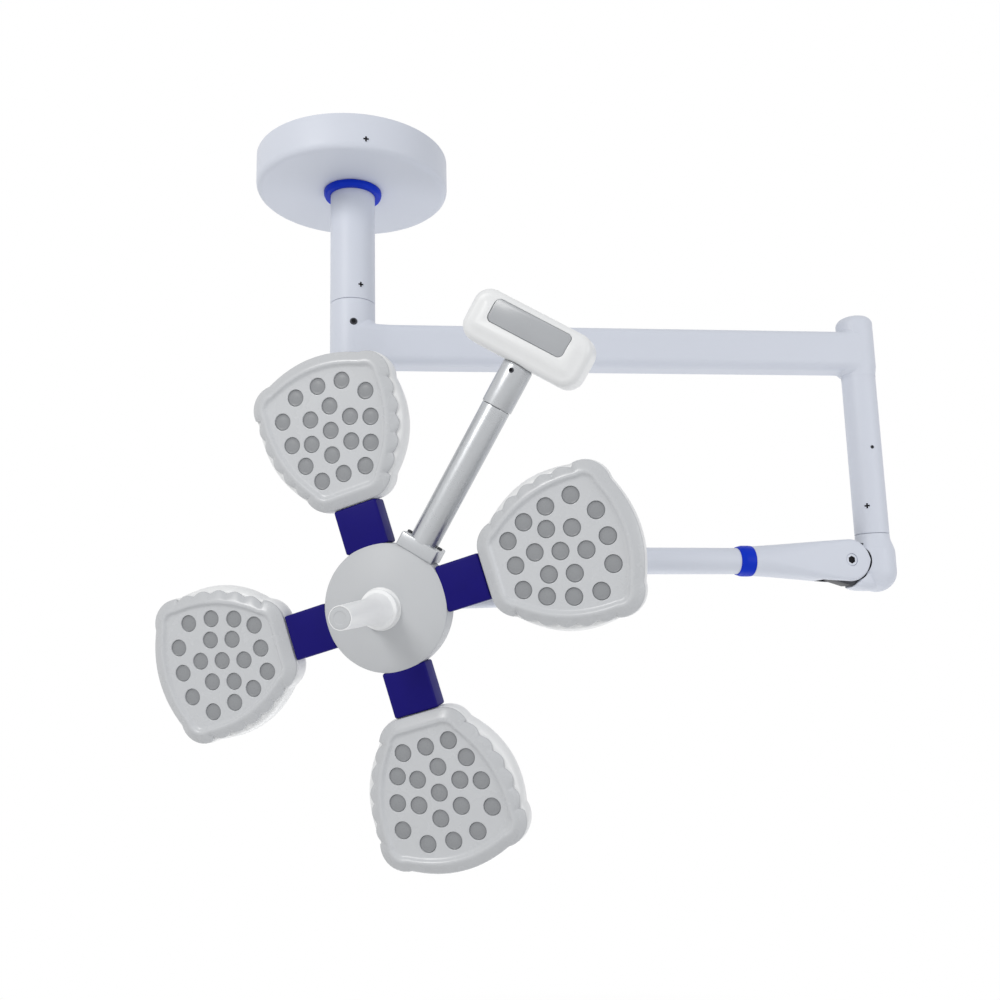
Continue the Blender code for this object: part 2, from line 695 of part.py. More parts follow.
def build_spring_arm():
    slot = TONGUE_WIDTH / 2 + SWEEP_GAP
    width = 2 * (slot + CHEEK_THICKNESS)
    nose = TUBE_RADIUS + SHROUD_NOSE
    lean = math.asin((CHEEK_RADIUS - nose) / SHROUD_LENGTH)
    start = math.pi / 2 - lean
    over = SHROUD_LENGTH + CUT_REACH
    drop = over * math.tan(lean)
    brow = CHEEK_RADIUS / math.cos(lean)
    side = arc((0, 0), CHEEK_RADIUS, start, 2 * math.pi - start, 4 * ARC_STEPS)
    side += [(over, drop - brow), (over, brow - drop)]
    upright = Matrix.Rotation(math.pi / 2, 4, "X")
    shroud = prism("arm_shroud", [side], width, spring_arm, white_paint, upright)
    growth = (SHROUD_FLARE - nose) / SHROUD_LENGTH
    cone = turned(
        "shroud_cone",
        [
            (0, SHROUD_LENGTH),
            (nose, SHROUD_LENGTH),
            (SHROUD_FLARE + growth * 2 * CHEEK_RADIUS, -2 * CHEEK_RADIUS),
            (0, -2 * CHEEK_RADIUS),
        ],
        spring_arm,
        None,
        X_AXIS,
    )
    combine(shroud, "INTERSECT", cone)
    low = (-2 * CHEEK_RADIUS, -slot, -2 * CHEEK_RADIUS)
    cut(shroud, block("tongue_slot", low, (SLOT_DEPTH, slot, 2 * CHEEK_RADIUS), spring_arm, None))
    tube_bore = TUBE_RADIUS - TUBE_WALL
    seat = SHROUD_LENGTH - TUBE_SEAT
    bore_start = SLOT_DEPTH - TUBE_WALL
    bore_end = seat + TUBE_WALL
    cut(shroud, bar("rod_bore", tube_bore, bore_end, bore_start, spring_arm, None, X_AXIS))
    cut(shroud, bar("tube_bore", TUBE_RADIUS + TOUCH_GAP, over, seat, spring_arm, None, X_AXIS))
    hole = PIVOT_PIN_RADIUS + RUNNING_GAP
    cut(shroud, bar("cheek_hole", hole, CUT_REACH, -CUT_REACH, spring_arm, None, Y_AXIS))
    cheek_face = width / 2
    recess = cheek_face - CAP_THICKNESS + TOUCH_GAP
    cut(shroud, bar("cap_recess", CAP_RADIUS + TOUCH_GAP, width, recess, spring_arm, None, Y_AXIS, BIG_FACETS))
    cap_top = cheek_face + SCREW_STAND
    bar("pivot_cap", CAP_RADIUS, cap_top, recess + TOUCH_GAP, spring_arm, dark_steel, Y_AXIS, SMALL_FACETS)

    ring_start = SHROUD_LENGTH + TOUCH_GAP
    ring_end = ring_start + RING_LENGTH
    ring_bore = TUBE_RADIUS + TOUCH_GAP
    wide = nose + RING_STEP
    turned(
        "spring_arm_ring",
        [
            (ring_bore + RING_STEP, ring_end),
            (wide, ring_start),
            (ring_bore, ring_start),
            (ring_bore, ring_end),
        ],
        spring_arm,
        blue_plastic,
        X_AXIS,
    )
    tube_end = SPRING_ARM_LENGTH - FORK_REACH - FORK_SHOULDER - TOUCH_GAP
    tube_start = seat + TOUCH_GAP
    ring("spring_arm_tube", TUBE_RADIUS, tube_bore, tube_end, tube_start, spring_arm, white_paint, X_AXIS)

    rise = tube_bore - SPRING_RADIUS - SPRING_WIRE_RADIUS - SEAM_GAP
    coil = bpy.data.curves.new("balance_spring", "CURVE")
    coil.dimensions = "3D"
    coil.bevel_depth = SPRING_WIRE_RADIUS
    coil.bevel_resolution = 0
    coil.use_fill_caps = True
    spline = coil.splines.new("POLY")
    count = SPRING_TURNS * SPRING_STEPS
    spline.points.add(count)
    for i, point in enumerate(spline.points):
        turn = 2 * math.pi * i / SPRING_STEPS
        along = seat + TUBE_SEAT / 2 + SPRING_LENGTH * i / count
        up = rise + SPRING_RADIUS * math.cos(turn)
        point.co = (along, SPRING_RADIUS * math.sin(turn), up, 1)
    piece("balance_spring", coil, spring_arm, steel)

    plug = tube_bore - TOUCH_GAP
    shoulder = SPRING_ARM_LENGTH - FORK_REACH
    plug_end = shoulder - FORK_SHOULDER
    fork = turned(
        "arm_end_fork",
        [
            (0, shoulder),
            (TUBE_RADIUS, shoulder),
            (TUBE_RADIUS, plug_end),
            (plug, plug_end),
            (plug, plug_end - FORK_PLUG),
            (0, plug_end - FORK_PLUG),
        ],
        spring_arm,
        white_paint,
        X_AXIS,
    )
    end = arc((SPRING_ARM_LENGTH, 0), FORK_TONGUE_RADIUS, math.pi / 2, -math.pi / 2, 2 * ARC_STEPS)
    side = end + [(plug_end, -FORK_TONGUE_RADIUS), (plug_end, FORK_TONGUE_RADIUS)]
    join(fork, prism("fork_tongue", [side], FORK_TONGUE_WIDTH, spring_arm, None, upright))
    slot = ROD_WIDTH / 2 + SWEEP_GAP
    slot_top = -KNUCKLE_PIN_RADIUS - 3 * TOUCH_GAP - SEAM_GAP
    low = (plug_end - 2 * FORK_PLUG, -slot, -2 * TUBE_RADIUS)
    high = (SPRING_ARM_LENGTH + CUT_REACH, slot, slot_top)
    cut(fork, block("fork_slot", low, high, spring_arm, None))
    pin_place = Matrix.Translation((SPRING_ARM_LENGTH, 0, 0)) @ Y_AXIS
    hole = KNUCKLE_PIN_RADIUS + RUNNING_GAP
    cut(fork, bar("fork_hole", hole, CUT_REACH, -CUT_REACH, spring_arm, None, pin_place))

    half = ROD_HEIGHT / 2
    bite = math.asin(half / ROD_EYE_RADIUS)
    bar_side = arc((0, 0), ROD_EYE_RADIUS, bite, 2 * math.pi - bite, 2 * ARC_STEPS)
    bar_side += arc((SPRING_ARM_LENGTH, 0), ROD_EYE_RADIUS, bite - math.pi, math.pi - bite, 2 * ARC_STEPS)
    eye = ROD_PIN_RADIUS + SWEEP_GAP
    eyes = [circle(spot, eye, SMALL_FACETS) for spot in ((0, 0), (SPRING_ARM_LENGTH, 0))]
    prism("parallel_rod", [bar_side] + eyes, ROD_WIDTH, rod_frame, steel, upright)


def build_knuckle_and_yoke():
    slot = FORK_TONGUE_WIDTH / 2 + RUNNING_GAP
    width = 2 * (slot + KNUCKLE_EAR_THICKNESS)
    crown = arc((0, 0), KNUCKLE_EAR_RADIUS, 0, math.pi, 2 * ARC_STEPS)
    base = -KNUCKLE_FLOOR - KNUCKLE_BASE_DEPTH
    lap = -KNUCKLE_FLOOR - SEAM_GAP
    side = crown + [(-KNUCKLE_EAR_RADIUS, lap), (KNUCKLE_EAR_RADIUS, lap)]
    upright = Matrix.Rotation(math.pi / 2, 4, "X")
    body = prism("front_knuckle", [side], width, knuckle, white_paint, upright)
    spindle_foot = base - SEAM_GAP - SWIVEL_LENGTH - SEAM_GAP - SWIVEL_NUT_HEIGHT
    foot = turned(
        "knuckle_foot",
        [
            (0, -KNUCKLE_FLOOR),
            (SWIVEL_RADIUS, -KNUCKLE_FLOOR),
            (SWIVEL_RADIUS, base),
            (SWIVEL_SPINDLE_RADIUS, base),
            (SWIVEL_SPINDLE_RADIUS, spindle_foot),
            (0, spindle_foot),
        ],
        knuckle,
        None,
    )
    join(body, foot)
    low = (-CUT_REACH, -slot, SEAM_GAP - KNUCKLE_FLOOR)
    cut(body, block("ear_slot", low, (CUT_REACH, slot, CUT_REACH), knuckle, None))
    hole = KNUCKLE_PIN_RADIUS + TOUCH_GAP
    cut(body, bar("knuckle_hole", hole, CUT_REACH, -CUT_REACH, knuckle, None, Y_AXIS))
    rod_pivot = Matrix.Translation((0, 0, -ROD_OFFSET)) @ Y_AXIS
    reach = slot + KNUCKLE_EAR_THICKNESS / 2
    join(body, bar("front_rod_pin", ROD_PIN_RADIUS, reach, -reach, knuckle, None, rod_pivot, SMALL_FACETS))
    pin_end = width / 2 + SCREW_STAND
    bar("knuckle_pin", KNUCKLE_PIN_RADIUS, pin_end, -pin_end, knuckle, steel, Y_AXIS)
    nut_top = spindle_foot + SWIVEL_NUT_HEIGHT
    nut_bore = SWIVEL_SPINDLE_RADIUS + TOUCH_GAP
    nut_radius = (SWIVEL_RADIUS + SWIVEL_SPINDLE_RADIUS) / 2 + NUT_LIP
    ring("swivel_nut", nut_radius, nut_bore, nut_top, spindle_foot, knuckle, steel)

    half = SWIVEL_LENGTH / 2
    boss = bar("yoke_arm", SWIVEL_RADIUS, half, -half, yoke, white_paint)
    shoulder = YOKE_REACH - TILT_BLOCK_BACK - SEAM_GAP
    tip = YOKE_REACH - TILT_BORE_FLOOR - SEAM_GAP
    limb = turned(
        "yoke_limb",
        [
            (0, tip),
            (YOKE_SPINDLE_RADIUS, tip),
            (YOKE_SPINDLE_RADIUS, shoulder),
            (YOKE_RADIUS, shoulder),
            (YOKE_RADIUS, SWIVEL_SPINDLE_RADIUS + NUT_LIP),
            (0, SWIVEL_SPINDLE_RADIUS + NUT_LIP),
        ],
        yoke,
        None,
        X_AXIS,
    )
    join(boss, limb)
    bore = SWIVEL_SPINDLE_RADIUS + RUNNING_GAP
    cut(boss, bar("swivel_bore", bore, SWIVEL_LENGTH, -SWIVEL_LENGTH, yoke, None))

    chamfer = 2 * NUT_LIP
    spindle_bore = YOKE_SPINDLE_RADIUS + RUNNING_GAP
    tilter = turned(
        "tilt_block",
        [
            (0, TILT_BLOCK_FRONT),
            (TILT_BLOCK_RADIUS - chamfer, TILT_BLOCK_FRONT),
            (TILT_BLOCK_RADIUS, TILT_BLOCK_FRONT - chamfer),
            (TILT_BLOCK_RADIUS, chamfer - TILT_BLOCK_BACK),
            (TILT_BLOCK_RADIUS - chamfer, -TILT_BLOCK_BACK),
            (spindle_bore, -TILT_BLOCK_BACK),
            (spindle_bore, -TILT_BORE_FLOOR),
            (0, -TILT_BORE_FLOOR),
        ],
        tilt,
        white_paint,
        X_AXIS,
    )
    hole = TILT_PIN_RADIUS + RUNNING_GAP
    cut(tilter, bar("tilt_hole", hole, CUT_REACH, -CUT_REACH, tilt, None))


def build_hub():
    slot = TILT_BLOCK_RADIUS + SEAM_GAP
    half = slot + BRACKET_EAR_THICKNESS
    back = TILT_SETBACK - HUB_DEPTH - TOUCH_GAP
    end = arc((0, 0), BRACKET_EAR_RADIUS, 0, -math.pi, 2 * ARC_STEPS)
    side = end + [(-BRACKET_EAR_RADIUS, back - SEAM_GAP), (BRACKET_EAR_RADIUS, back - SEAM_GAP)]
    bracket = prism("hub_bracket", [side], 2 * half, head, white_paint)
    flange_back = back - BRACKET_FLANGE_THICKNESS
    join(bracket, bar("flange", BRACKET_FLANGE_RADIUS, back, flange_back, head, None, Y_AXIS))
    low = (-CUT_REACH, -CUT_REACH, -slot)
    high = (CUT_REACH, flange_back - BRACKET_WEB, slot)
    cut(bracket, block("bracket_slot", low, high, head, None))
    hole = TILT_PIN_RADIUS + TOUCH_GAP
    cut(bracket, bar("pin_hole", hole, CUT_REACH, -CUT_REACH, head, None))
    pin_end = half + PIN_OVERHANG
    bar("tilt_pin", TILT_PIN_RADIUS, pin_end, -pin_end, head, steel)

    bore = HUB_RADIUS - HUB_WALL
    turned(
        "hub_shell",
        [
            (0, HUB_WALL - HUB_DEPTH),
            (HUB_HEEL_RADIUS - HUB_WALL, HUB_WALL - HUB_DEPTH),
            (bore, -HUB_WAIST_DEPTH),
            (bore, -HUB_FRONT),
            (HUB_RADIUS, -HUB_FRONT),
            (HUB_RADIUS, -HUB_WAIST_DEPTH),
            (HUB_HEEL_RADIUS, -HUB_DEPTH),
            (0, -HUB_DEPTH),
        ],
        face,
        pale_plastic,
        facets=BIG_FACETS,
    )
    rim = TOUCH_GAP - HUB_FRONT
    steps = [math.pi / 4 * i / ARC_STEPS for i in range(2 * ARC_STEPS + 1)]
    rise = COVER_RISE - rim
    outside = [(HUB_RADIUS * math.sin(a), rim + rise * math.cos(a)) for a in steps]
    inside = [(bore * math.sin(a), rim + (rise - HUB_WALL) * math.cos(a)) for a in reversed(steps)]
    turned("hub_cover", outside + inside, face, pale_plastic, facets=BIG_FACETS)

    flange = COVER_RISE + TOUCH_GAP
    flange_top = flange + STEM_FLANGE_THICKNESS
    seat = flange_top + STEM_FLANGE_THICKNESS / 2
    stem_top = flange + STEM_LENGTH
    turned(
        "handle_stem",
        [
            (0, stem_top),
            (STEM_RADIUS, stem_top),
            (STEM_RADIUS, seat),
            (STEM_FLANGE_RADIUS, flange_top),
            (STEM_FLANGE_RADIUS, flange),
            (0, flange),
        ],
        face,
        satin_metal,
    )
    foot = flange_top + SEAM_GAP
    tip = foot + HANDLE_LENGTH
    bore = STEM_RADIUS + RUNNING_GAP
    crown = [
        (HANDLE_TIP_RADIUS * math.sin(a), tip - HANDLE_TIP_RISE * (1 - math.cos(a))) for a in steps[::2]
    ]
    turned(
        "sterile_handle",
        crown
        + [
            (HANDLE_WAIST_RADIUS, foot + HANDLE_WAIST_RISE),
            (HANDLE_NECK_RADIUS, foot + HANDLE_NECK_RISE),
            (HANDLE_FLARE_RADIUS, foot + HANDLE_RIM),
            (HANDLE_FLARE_RADIUS, foot),
            (bore, seat + SEAM_GAP),
            (bore, stem_top + SEAM_GAP),
            (0, stem_top + SEAM_GAP),
        ],
        face,
        white_plastic,
    )


def build_petal(number):
    turn = number * 2 * math.pi / PETALS
    radial_turn = Matrix.Rotation(turn, 4, "Z")
    spoke = frame(f"spoke_{number}", face, radial_turn)
    petal = frame(f"petal_{number}", spoke, Matrix.Translation((PETAL_PLACE, 0, 0)))
    inner_end = PETAL_PLACE - PETAL_CORE_IN - PETAL_CORNER - TOUCH_GAP
    half = CONNECTOR_WIDTH / 2
    low = (HUB_RADIUS - 2 * CONNECTOR_EDGE, -half, -CONNECTOR_FRONT - CONNECTOR_THICKNESS)
    high = (inner_end, half, -CONNECTOR_FRONT)
    link = block(f"connector_{number}", low, high, spoke, navy_plastic, CONNECTOR_EDGE, 1)
    hub_cut = bar("hub_cut", HUB_RADIUS + TOUCH_GAP, HUB_DEPTH, -HUB_DEPTH, spoke, None, facets=BIG_FACETS)
    cut(link, hub_cut)

    shape = bmesh.new()
    lip_inset = PETAL_WALL / 4
    levels = [(PETAL_CORNER - lip_inset, PETAL_LIP, 1.0, 0.0)]
    for corner, deep, share, swell in PETAL_LEVELS:
        levels.append((PETAL_CORNER * corner, -PETAL_DEPTH * deep, share, swell))
    loops = []
    for offset, height, share, swell in levels:
        outline = petal_outline(offset, PETAL_SCALLOP_DEPTH * share, swell=swell)
        loops.append([shape.verts.new((x, y, height)) for x, y in outline])
    for upper, under in zip(loops, loops[1:]):
        count = len(upper)
        for i in range(count):
            j = (i + 1) % count
            shape.faces.new((upper[i], under[i], under[j], upper[j]))
    shape.faces.new(reversed(loops[-1]))
    housing = piece(f"petal_housing_{number}", mesh_of("petal_housing", shape), petal, white_plastic)
    wall = housing.modifiers.new("Wall", "SOLIDIFY")
    wall.thickness = PETAL_WALL
    wall.offset = -1

    spots = lens_places()
    holes = [circle(spot, LENS_RADIUS + LENS_GAP, LENS_FACETS) for spot in spots]
    bezel_place = Matrix.Translation((0, 0, -BEZEL_THICKNESS / 2))
    bezel_inset = lip_inset + PETAL_SCALLOP_DEPTH + PETAL_WALL + BEZEL_GAP
    edge = petal_outline(PETAL_CORNER - bezel_inset, side_steps=1)
    prism(f"petal_bezel_{number}", [edge] + holes, BEZEL_THICKNESS, petal, pale_plastic, bezel_place)
    board_top = -BEZEL_THICKNESS - TOUCH_GAP
    board_place = Matrix.Translation((0, 0, board_top - BOARD_THICKNESS / 2))
    edge = petal_outline(PETAL_CORNER - BOARD_INSET, side_steps=1)
    board = prism(f"lens_board_{number}", [edge], BOARD_THICKNESS, petal, lens_plastic, board_place)
    lens_foot = board_top - BOARD_THICKNESS / 2
    lens_turn = Matrix.Rotation(math.pi / LENS_FACETS, 4, "Z")
    shape = bmesh.new()
    for x, y in spots:
        spot = Matrix.Translation((x, y, (lens_foot - LENS_RECESS) / 2)) @ lens_turn
        bmesh.ops.create_cone(
            shape,
            cap_ends=True,
            segments=LENS_FACETS,
            radius1=LENS_RADIUS,
            radius2=LENS_RADIUS,
            depth=-LENS_RECESS - lens_foot,
            matrix=spot,
        )
    join(board, piece(f"lenses_{number}", mesh_of("lenses", shape), petal, None))


def build_stalk_and_pod():
    start = HUB_RADIUS - 2 * CONNECTOR_EDGE
    collar_end = HUB_RADIUS + STALK_COLLAR_LENGTH
    half, depth = STALK_COLLAR_WIDTH / 2, STALK_COLLAR_DEPTH / 2
    low = (start, -half, -depth)
    high = (collar_end, half, depth)
    collar = block("stalk_collar", low, high, stalk, satin_metal, STALK_COLLAR_EDGE, 1)
    hub_rim = HUB_RADIUS + TOUCH_GAP
    hub_cut = bar("collar_cut", hub_rim, HUB_DEPTH, -HUB_DEPTH, stalk, None, facets=BIG_FACETS)
    cut(collar, hub_cut)
    bolt_place = (STALK_RADIUS + half) / 2
    for side, way in (("left", 1), ("right", -1)):
        spot = Matrix.Translation((collar_end, way * bolt_place, 0)) @ X_AXIS
        hole = STALK_BOLT_RADIUS + TOUCH_GAP
        floor = -STALK_BOLT_GRIP - TOUCH_GAP
        cut(collar, bar("bolt_hole", hole, CUT_REACH, floor, stalk, None, spot, SMALL_FACETS))
        name = f"stalk_bolt_{side}"
        grip = -STALK_BOLT_GRIP
        bar(name, STALK_BOLT_RADIUS, STALK_BOLT_HEAD, grip, stalk, dark_steel, spot, SMALL_FACETS)
    spindle_end = STALK_END + STALK_SPINDLE_LENGTH
    bore = STALK_RADIUS - STALK_WALL
    tube_start = collar_end + TOUCH_GAP
    turned(
        "stalk_tube",
        [
            (0, spindle_end),
            (STALK_SPINDLE_RADIUS, spindle_end),
            (STALK_SPINDLE_RADIUS, STALK_END),
            (STALK_RADIUS, STALK_END),
            (STALK_RADIUS, tube_start),
            (bore, tube_start),
            (bore, STALK_END - 2 * STALK_WALL),
            (0, STALK_END - 2 * STALK_WALL),
        ],
        stalk,
        satin_metal,
        X_AXIS,
    )
    sleeve_start = STALK_END + SEAM_GAP
    sleeve_end = sleeve_start + POD_SLEEVE_LENGTH
    sleeve_bore = STALK_SPINDLE_RADIUS + RUNNING_GAP
    sleeve = ring(
        "pod_sleeve", POD_SLEEVE_RADIUS, sleeve_bore, sleeve_end, sleeve_start, stalk, satin_metal, X_AXIS
    )
    screw_place = Matrix.Translation((sleeve_end - POD_SCREW_FALL, 0, POD_SLEEVE_RADIUS))
    wall = POD_SLEEVE_RADIUS - sleeve_bore
    screw_in("pod_set_screw", [sleeve], POD_SCREW_RADIUS, wall, stalk, dark_steel, screw_place)
    pod_start = sleeve_end + TOUCH_GAP
    half, front = POD_WIDTH / 2, POD_THICKNESS / 2
    low = (pod_start, -half, -front)
    high = (pod_start + POD_HEIGHT, half, front)
    pod = block("pod_housing", low, high, stalk, white_plastic, POD_EDGE, ARC_STEPS)
    wall = Vector((POD_WALL, POD_WALL, POD_WALL))
    low, high = Vector(low) + wall, Vector(high) - wall
    cut(pod, block("pod_cavity", low, high, stalk, None, POD_EDGE - POD_WALL, ARC_STEPS))
    middle = pod_start + PANEL_RISE
    gap = TOUCH_GAP
    low = (middle - PANEL_HEIGHT / 2, -PANEL_WIDTH / 2, front - PANEL_DEPTH)
    high = (middle + PANEL_HEIGHT / 2, PANEL_WIDTH / 2, front + gap)
    grow = Vector((gap, gap, gap))
    above = Vector((gap, gap, PANEL_DEPTH))
    cut(pod, block("panel_recess", Vector(low) - grow, Vector(high) + above, stalk, None))
    block("pod_panel", low, high, stalk, panel_plastic)


build_ceiling_mount()
build_extension_arm()
build_elbow()
build_spring_arm()
build_knuckle_and_yoke()
build_hub()
for petal_number in range(1, PETALS + 1):
    build_petal(petal_number)
build_stalk_and_pod()
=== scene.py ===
import json
import math

import bmesh
import bpy
from mathutils import Matrix, Vector


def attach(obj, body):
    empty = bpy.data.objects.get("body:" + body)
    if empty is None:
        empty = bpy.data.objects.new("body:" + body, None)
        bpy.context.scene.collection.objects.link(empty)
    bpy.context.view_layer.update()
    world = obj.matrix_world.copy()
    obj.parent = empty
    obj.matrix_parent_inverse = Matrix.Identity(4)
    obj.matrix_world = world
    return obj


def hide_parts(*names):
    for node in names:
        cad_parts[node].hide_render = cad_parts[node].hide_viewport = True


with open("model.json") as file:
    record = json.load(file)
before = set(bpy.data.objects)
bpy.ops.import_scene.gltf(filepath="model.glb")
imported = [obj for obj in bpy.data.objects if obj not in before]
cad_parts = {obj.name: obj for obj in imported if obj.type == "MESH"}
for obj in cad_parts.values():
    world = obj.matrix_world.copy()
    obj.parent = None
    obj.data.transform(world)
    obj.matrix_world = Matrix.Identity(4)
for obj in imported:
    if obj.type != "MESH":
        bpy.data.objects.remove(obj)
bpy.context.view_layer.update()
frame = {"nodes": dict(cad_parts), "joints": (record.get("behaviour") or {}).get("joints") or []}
scene = bpy.context.scene
joints = {joint["name"]: joint for joint in frame["joints"]}

toX = Matrix.Rotation(math.pi / 2, 4, "Y")       # lays a piece turned round Z along X
toY = Matrix.Rotation(-math.pi / 2, 4, "X")      # lays it along Y
upright = Matrix.Rotation(math.pi / 2, 4, "X")   # stands a slab up, its thickness along Y
sameSpot = 1e-6    # vertices nearer than this become one


# places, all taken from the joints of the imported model

def pivot(name):
    return Vector(joints[name]["pos_m"])


def axisOf(name):
    return Vector(joints[name]["axis"]).normalized()


def lineUp(name, along, up):
    xAxis = along.normalized()
    yAxis = up.cross(xAxis).normalized()
    zAxis = xAxis.cross(yAxis)
    return Matrix.Translation(pivot(name)) @ Matrix((xAxis, yAxis, zAxis)).transposed().to_4x4()


def shift(x, y, z):
    return Matrix.Translation((x, y, z))


def spinZ(degrees):
    return Matrix.Rotation(math.radians(degrees), 4, "Z")


headSpin = 15.7    # degrees that the four petals are turned round the lamp's own axis
upward = Vector((0, 0, 1))
faceOut = axisOf("handle_twist")
turnAxis = axisOf("head_turn")
armAlong = pivot("knuckle_pivot") - pivot("spring_arm_lift")
yokeAlong = pivot("head_pitch") - pivot("yoke_swivel")

mountPlace = Matrix()
extensionPlace = Matrix.Translation(pivot("arm_swivel"))
elbowPlace = lineUp("elbow_swivel", armAlong, upward)
springPlace = lineUp("spring_arm_lift", armAlong, upward)
knucklePlace = lineUp("knuckle_pivot", armAlong, upward)
yokePlace = lineUp("yoke_swivel", yokeAlong, upward)
tiltPlace = lineUp("head_pitch", yokeAlong, turnAxis)
bracketPlace = lineUp("head_pitch", faceOut, turnAxis)
facePlace = lineUp("handle_twist", turnAxis.cross(faceOut), faceOut) @ spinZ(headSpin)
stalkPlace = lineUp("pod_swivel", axisOf("pod_swivel"), faceOut)


# shaping, each helper gives back a bmesh

def softened(corners, closed, steps=5):
    # corners are (x, y) or (x, y, rounding), and a rounding takes less than half of a side
    points = []
    mostOfSide = 0.49
    for i, corner in enumerate(corners):
        here = Vector(corner[:2])
        rounding = corner[2] if len(corner) > 2 else 0
        if not rounding or (not closed and i in (0, len(corners) - 1)):
            points.append(here)
            continue
        before = Vector(corners[i - 1][:2]) - here
        after = Vector(corners[(i + 1) % len(corners)][:2]) - here
        reach = rounding / math.tan(before.angle(after) / 2)
        reach = min(reach, before.length * mostOfSide, after.length * mostOfSide)
        start = here + before.normalized() * reach
        end = here + after.normalized() * reach
        for step in range(steps + 1):
            t = step / steps
            points.append(start * (1 - t) ** 2 + here * (2 * t * (1 - t)) + end * t ** 2)
    return points


def finishShape(bm, place):
    order = bm.verts.layers.int.get("order")
    if order:
        bm.verts.layers.int.remove(order)
    bmesh.ops.remove_doubles(bm, verts=bm.verts[:], dist=sameSpot)
    bmesh.ops.recalc_face_normals(bm, faces=bm.faces[:])
    bmesh.ops.transform(bm, matrix=place, verts=bm.verts[:])
    return bm


def turned(corners, steps=96, place=Matrix()):
    # a profile of (radius, height, rounding) spun round Z; one that starts on the axis is open
    closed = corners[0][0] > 0
    bm = bmesh.new()
    line = [bm.verts.new((x, 0, z)) for x, z in softened(corners, closed)]
    links = list(zip(line, line[1:]))
    if closed:
        links.append((line[-1], line[0]))
    edges = [bm.edges.new(link) for link in links]
    bmesh.ops.spin(bm, geom=line + edges, cent=(0, 0, 0), axis=(0, 0, 1),
                   angle=math.tau, steps=steps, use_merge=True)
    return finishShape(bm, place)


def addLoop(bm, points):
    order = bm.verts.layers.int.get("order") or bm.verts.layers.int.new("order")
    verts = [bm.verts.new(point) for point in points]
    for place, vert in enumerate(verts):
        vert[order] = place
    return [bm.edges.new(pair) for pair in zip(verts, verts[1:] + verts[:1])]


def grown(bm, ring, points):
    # extrudes a loop of edges and puts each new vertex in its place on the next loop
    order = bm.verts.layers.int["order"]
    made = bmesh.ops.extrude_edge_only(bm, edges=ring)["geom"]
    for item in made:
        if isinstance(item, bmesh.types.BMVert):
            item.co = points[item[order]]
    return [item for item in made if isinstance(item, bmesh.types.BMEdge)]


def lofted(loops, place=Matrix()):
    # a closed loop of points grown into the next, with both ends filled
    bm = bmesh.new()
    first = addLoop(bm, loops[0])
    last = first
    for points in loops[1:]:
        last = grown(bm, last, points)
    bmesh.ops.edgeloop_fill(bm, edges=first)
    bmesh.ops.edgeloop_fill(bm, edges=last)
    return finishShape(bm, place)


def smoothStep(t):
    t = max(0.0, min(1.0, t))
    return t * t * (3 - 2 * t)


def ovalBox(width, height, corner, steps=8, between=0):
    # a rectangle with rounded corners, as (across, up) points
    half = Vector((width / 2 - corner, height / 2 - corner))
    arcs = []
    for turn, side, rise in ((0, 1, 1), (90, -1, 1), (180, -1, -1), (270, 1, -1)):
        angles = [math.radians(turn + 90 * step / steps) for step in range(steps + 1)]
        middle = Vector((side * half.x, rise * half.y))
        arcs.append([middle + corner * Vector((math.cos(a), math.sin(a))) for a in angles])
    points = []
    for arc, following in zip(arcs, arcs[1:] + arcs[:1]):
        points += arc
        points += [arc[-1].lerp(following[0], (i + 1) / (between + 1)) for i in range(between)]
    return points


def roundEnd(radius, reach, steps=32):
    # a disc round the origin drawn out along -X or +X by reach
    side = 1 if reach > 0 else -1
    points = [(reach, side * -radius), (reach, side * radius)]
    for step in range(steps + 1):
        angle = math.pi * (0.5 + step / steps)
        points.append((side * radius * math.cos(angle), side * radius * math.sin(angle)))
    return points


def slab(outline, low, high, edge=0.0, segments=2, place=Matrix()):
    bm = bmesh.new()
    face = bm.faces.new([bm.verts.new((x, y, low)) for x, y in outline])
    made = bmesh.ops.extrude_face_region(bm, geom=[face])["geom"]
    lifted = [item for item in made if isinstance(item, bmesh.types.BMVert)]
    bmesh.ops.translate(bm, vec=(0, 0, high - low), verts=lifted)
    bmesh.ops.recalc_face_normals(bm, faces=bm.faces[:])
    if edge:
        rims = [e for e in bm.edges if abs(e.verts[0].co.z - e.verts[1].co.z) < sameSpot / 10]
        bmesh.ops.bevel(bm, geom=rims, offset=edge, segments=segments, profile=0.5,
                        affect="EDGES", material=-1)
    return finishShape(bm, place)


def softBox(size, edge, segments, place=Matrix()):
    bm = bmesh.new()
    bmesh.ops.create_cube(bm, size=1)
    bmesh.ops.scale(bm, vec=size, verts=bm.verts[:])
    bmesh.ops.bevel(bm, geom=bm.edges[:], offset=edge, segments=segments, profile=0.5,
                    affect="EDGES", material=-1)
    return finishShape(bm, place)


def hexBar(radius, depth, level):
    bm = bmesh.new()
    bmesh.ops.create_cone(bm, cap_ends=True, segments=6, radius1=radius, radius2=radius,
                          depth=depth)
    bmesh.ops.translate(bm, vec=(0, 0, level), verts=bm.verts[:])
    return bm


def earPair(piece, place):
    # two round-ended cheeks, one on each side of a pivot
    outline = roundEnd(piece["earRadius"], piece["earReach"])
    shapes = []
    for side in (-1, 1):
        low, high = sorted((side * piece["earInner"], side * piece["earOuter"]))
        shapes.append(slab(outline, low, high, piece["earEdge"], 2, place))
    return shapes


def toMesh(shape, name="scratch"):
    mesh = bpy.data.meshes.new(name)
    shape.to_mesh(mesh)
    shape.free()
    return mesh


def joined(*shapes):
    whole = bmesh.new()
    for shape in shapes:
        mesh = toMesh(shape)
        whole.from_mesh(mesh)
        bpy.data.meshes.remove(mesh)
    return whole


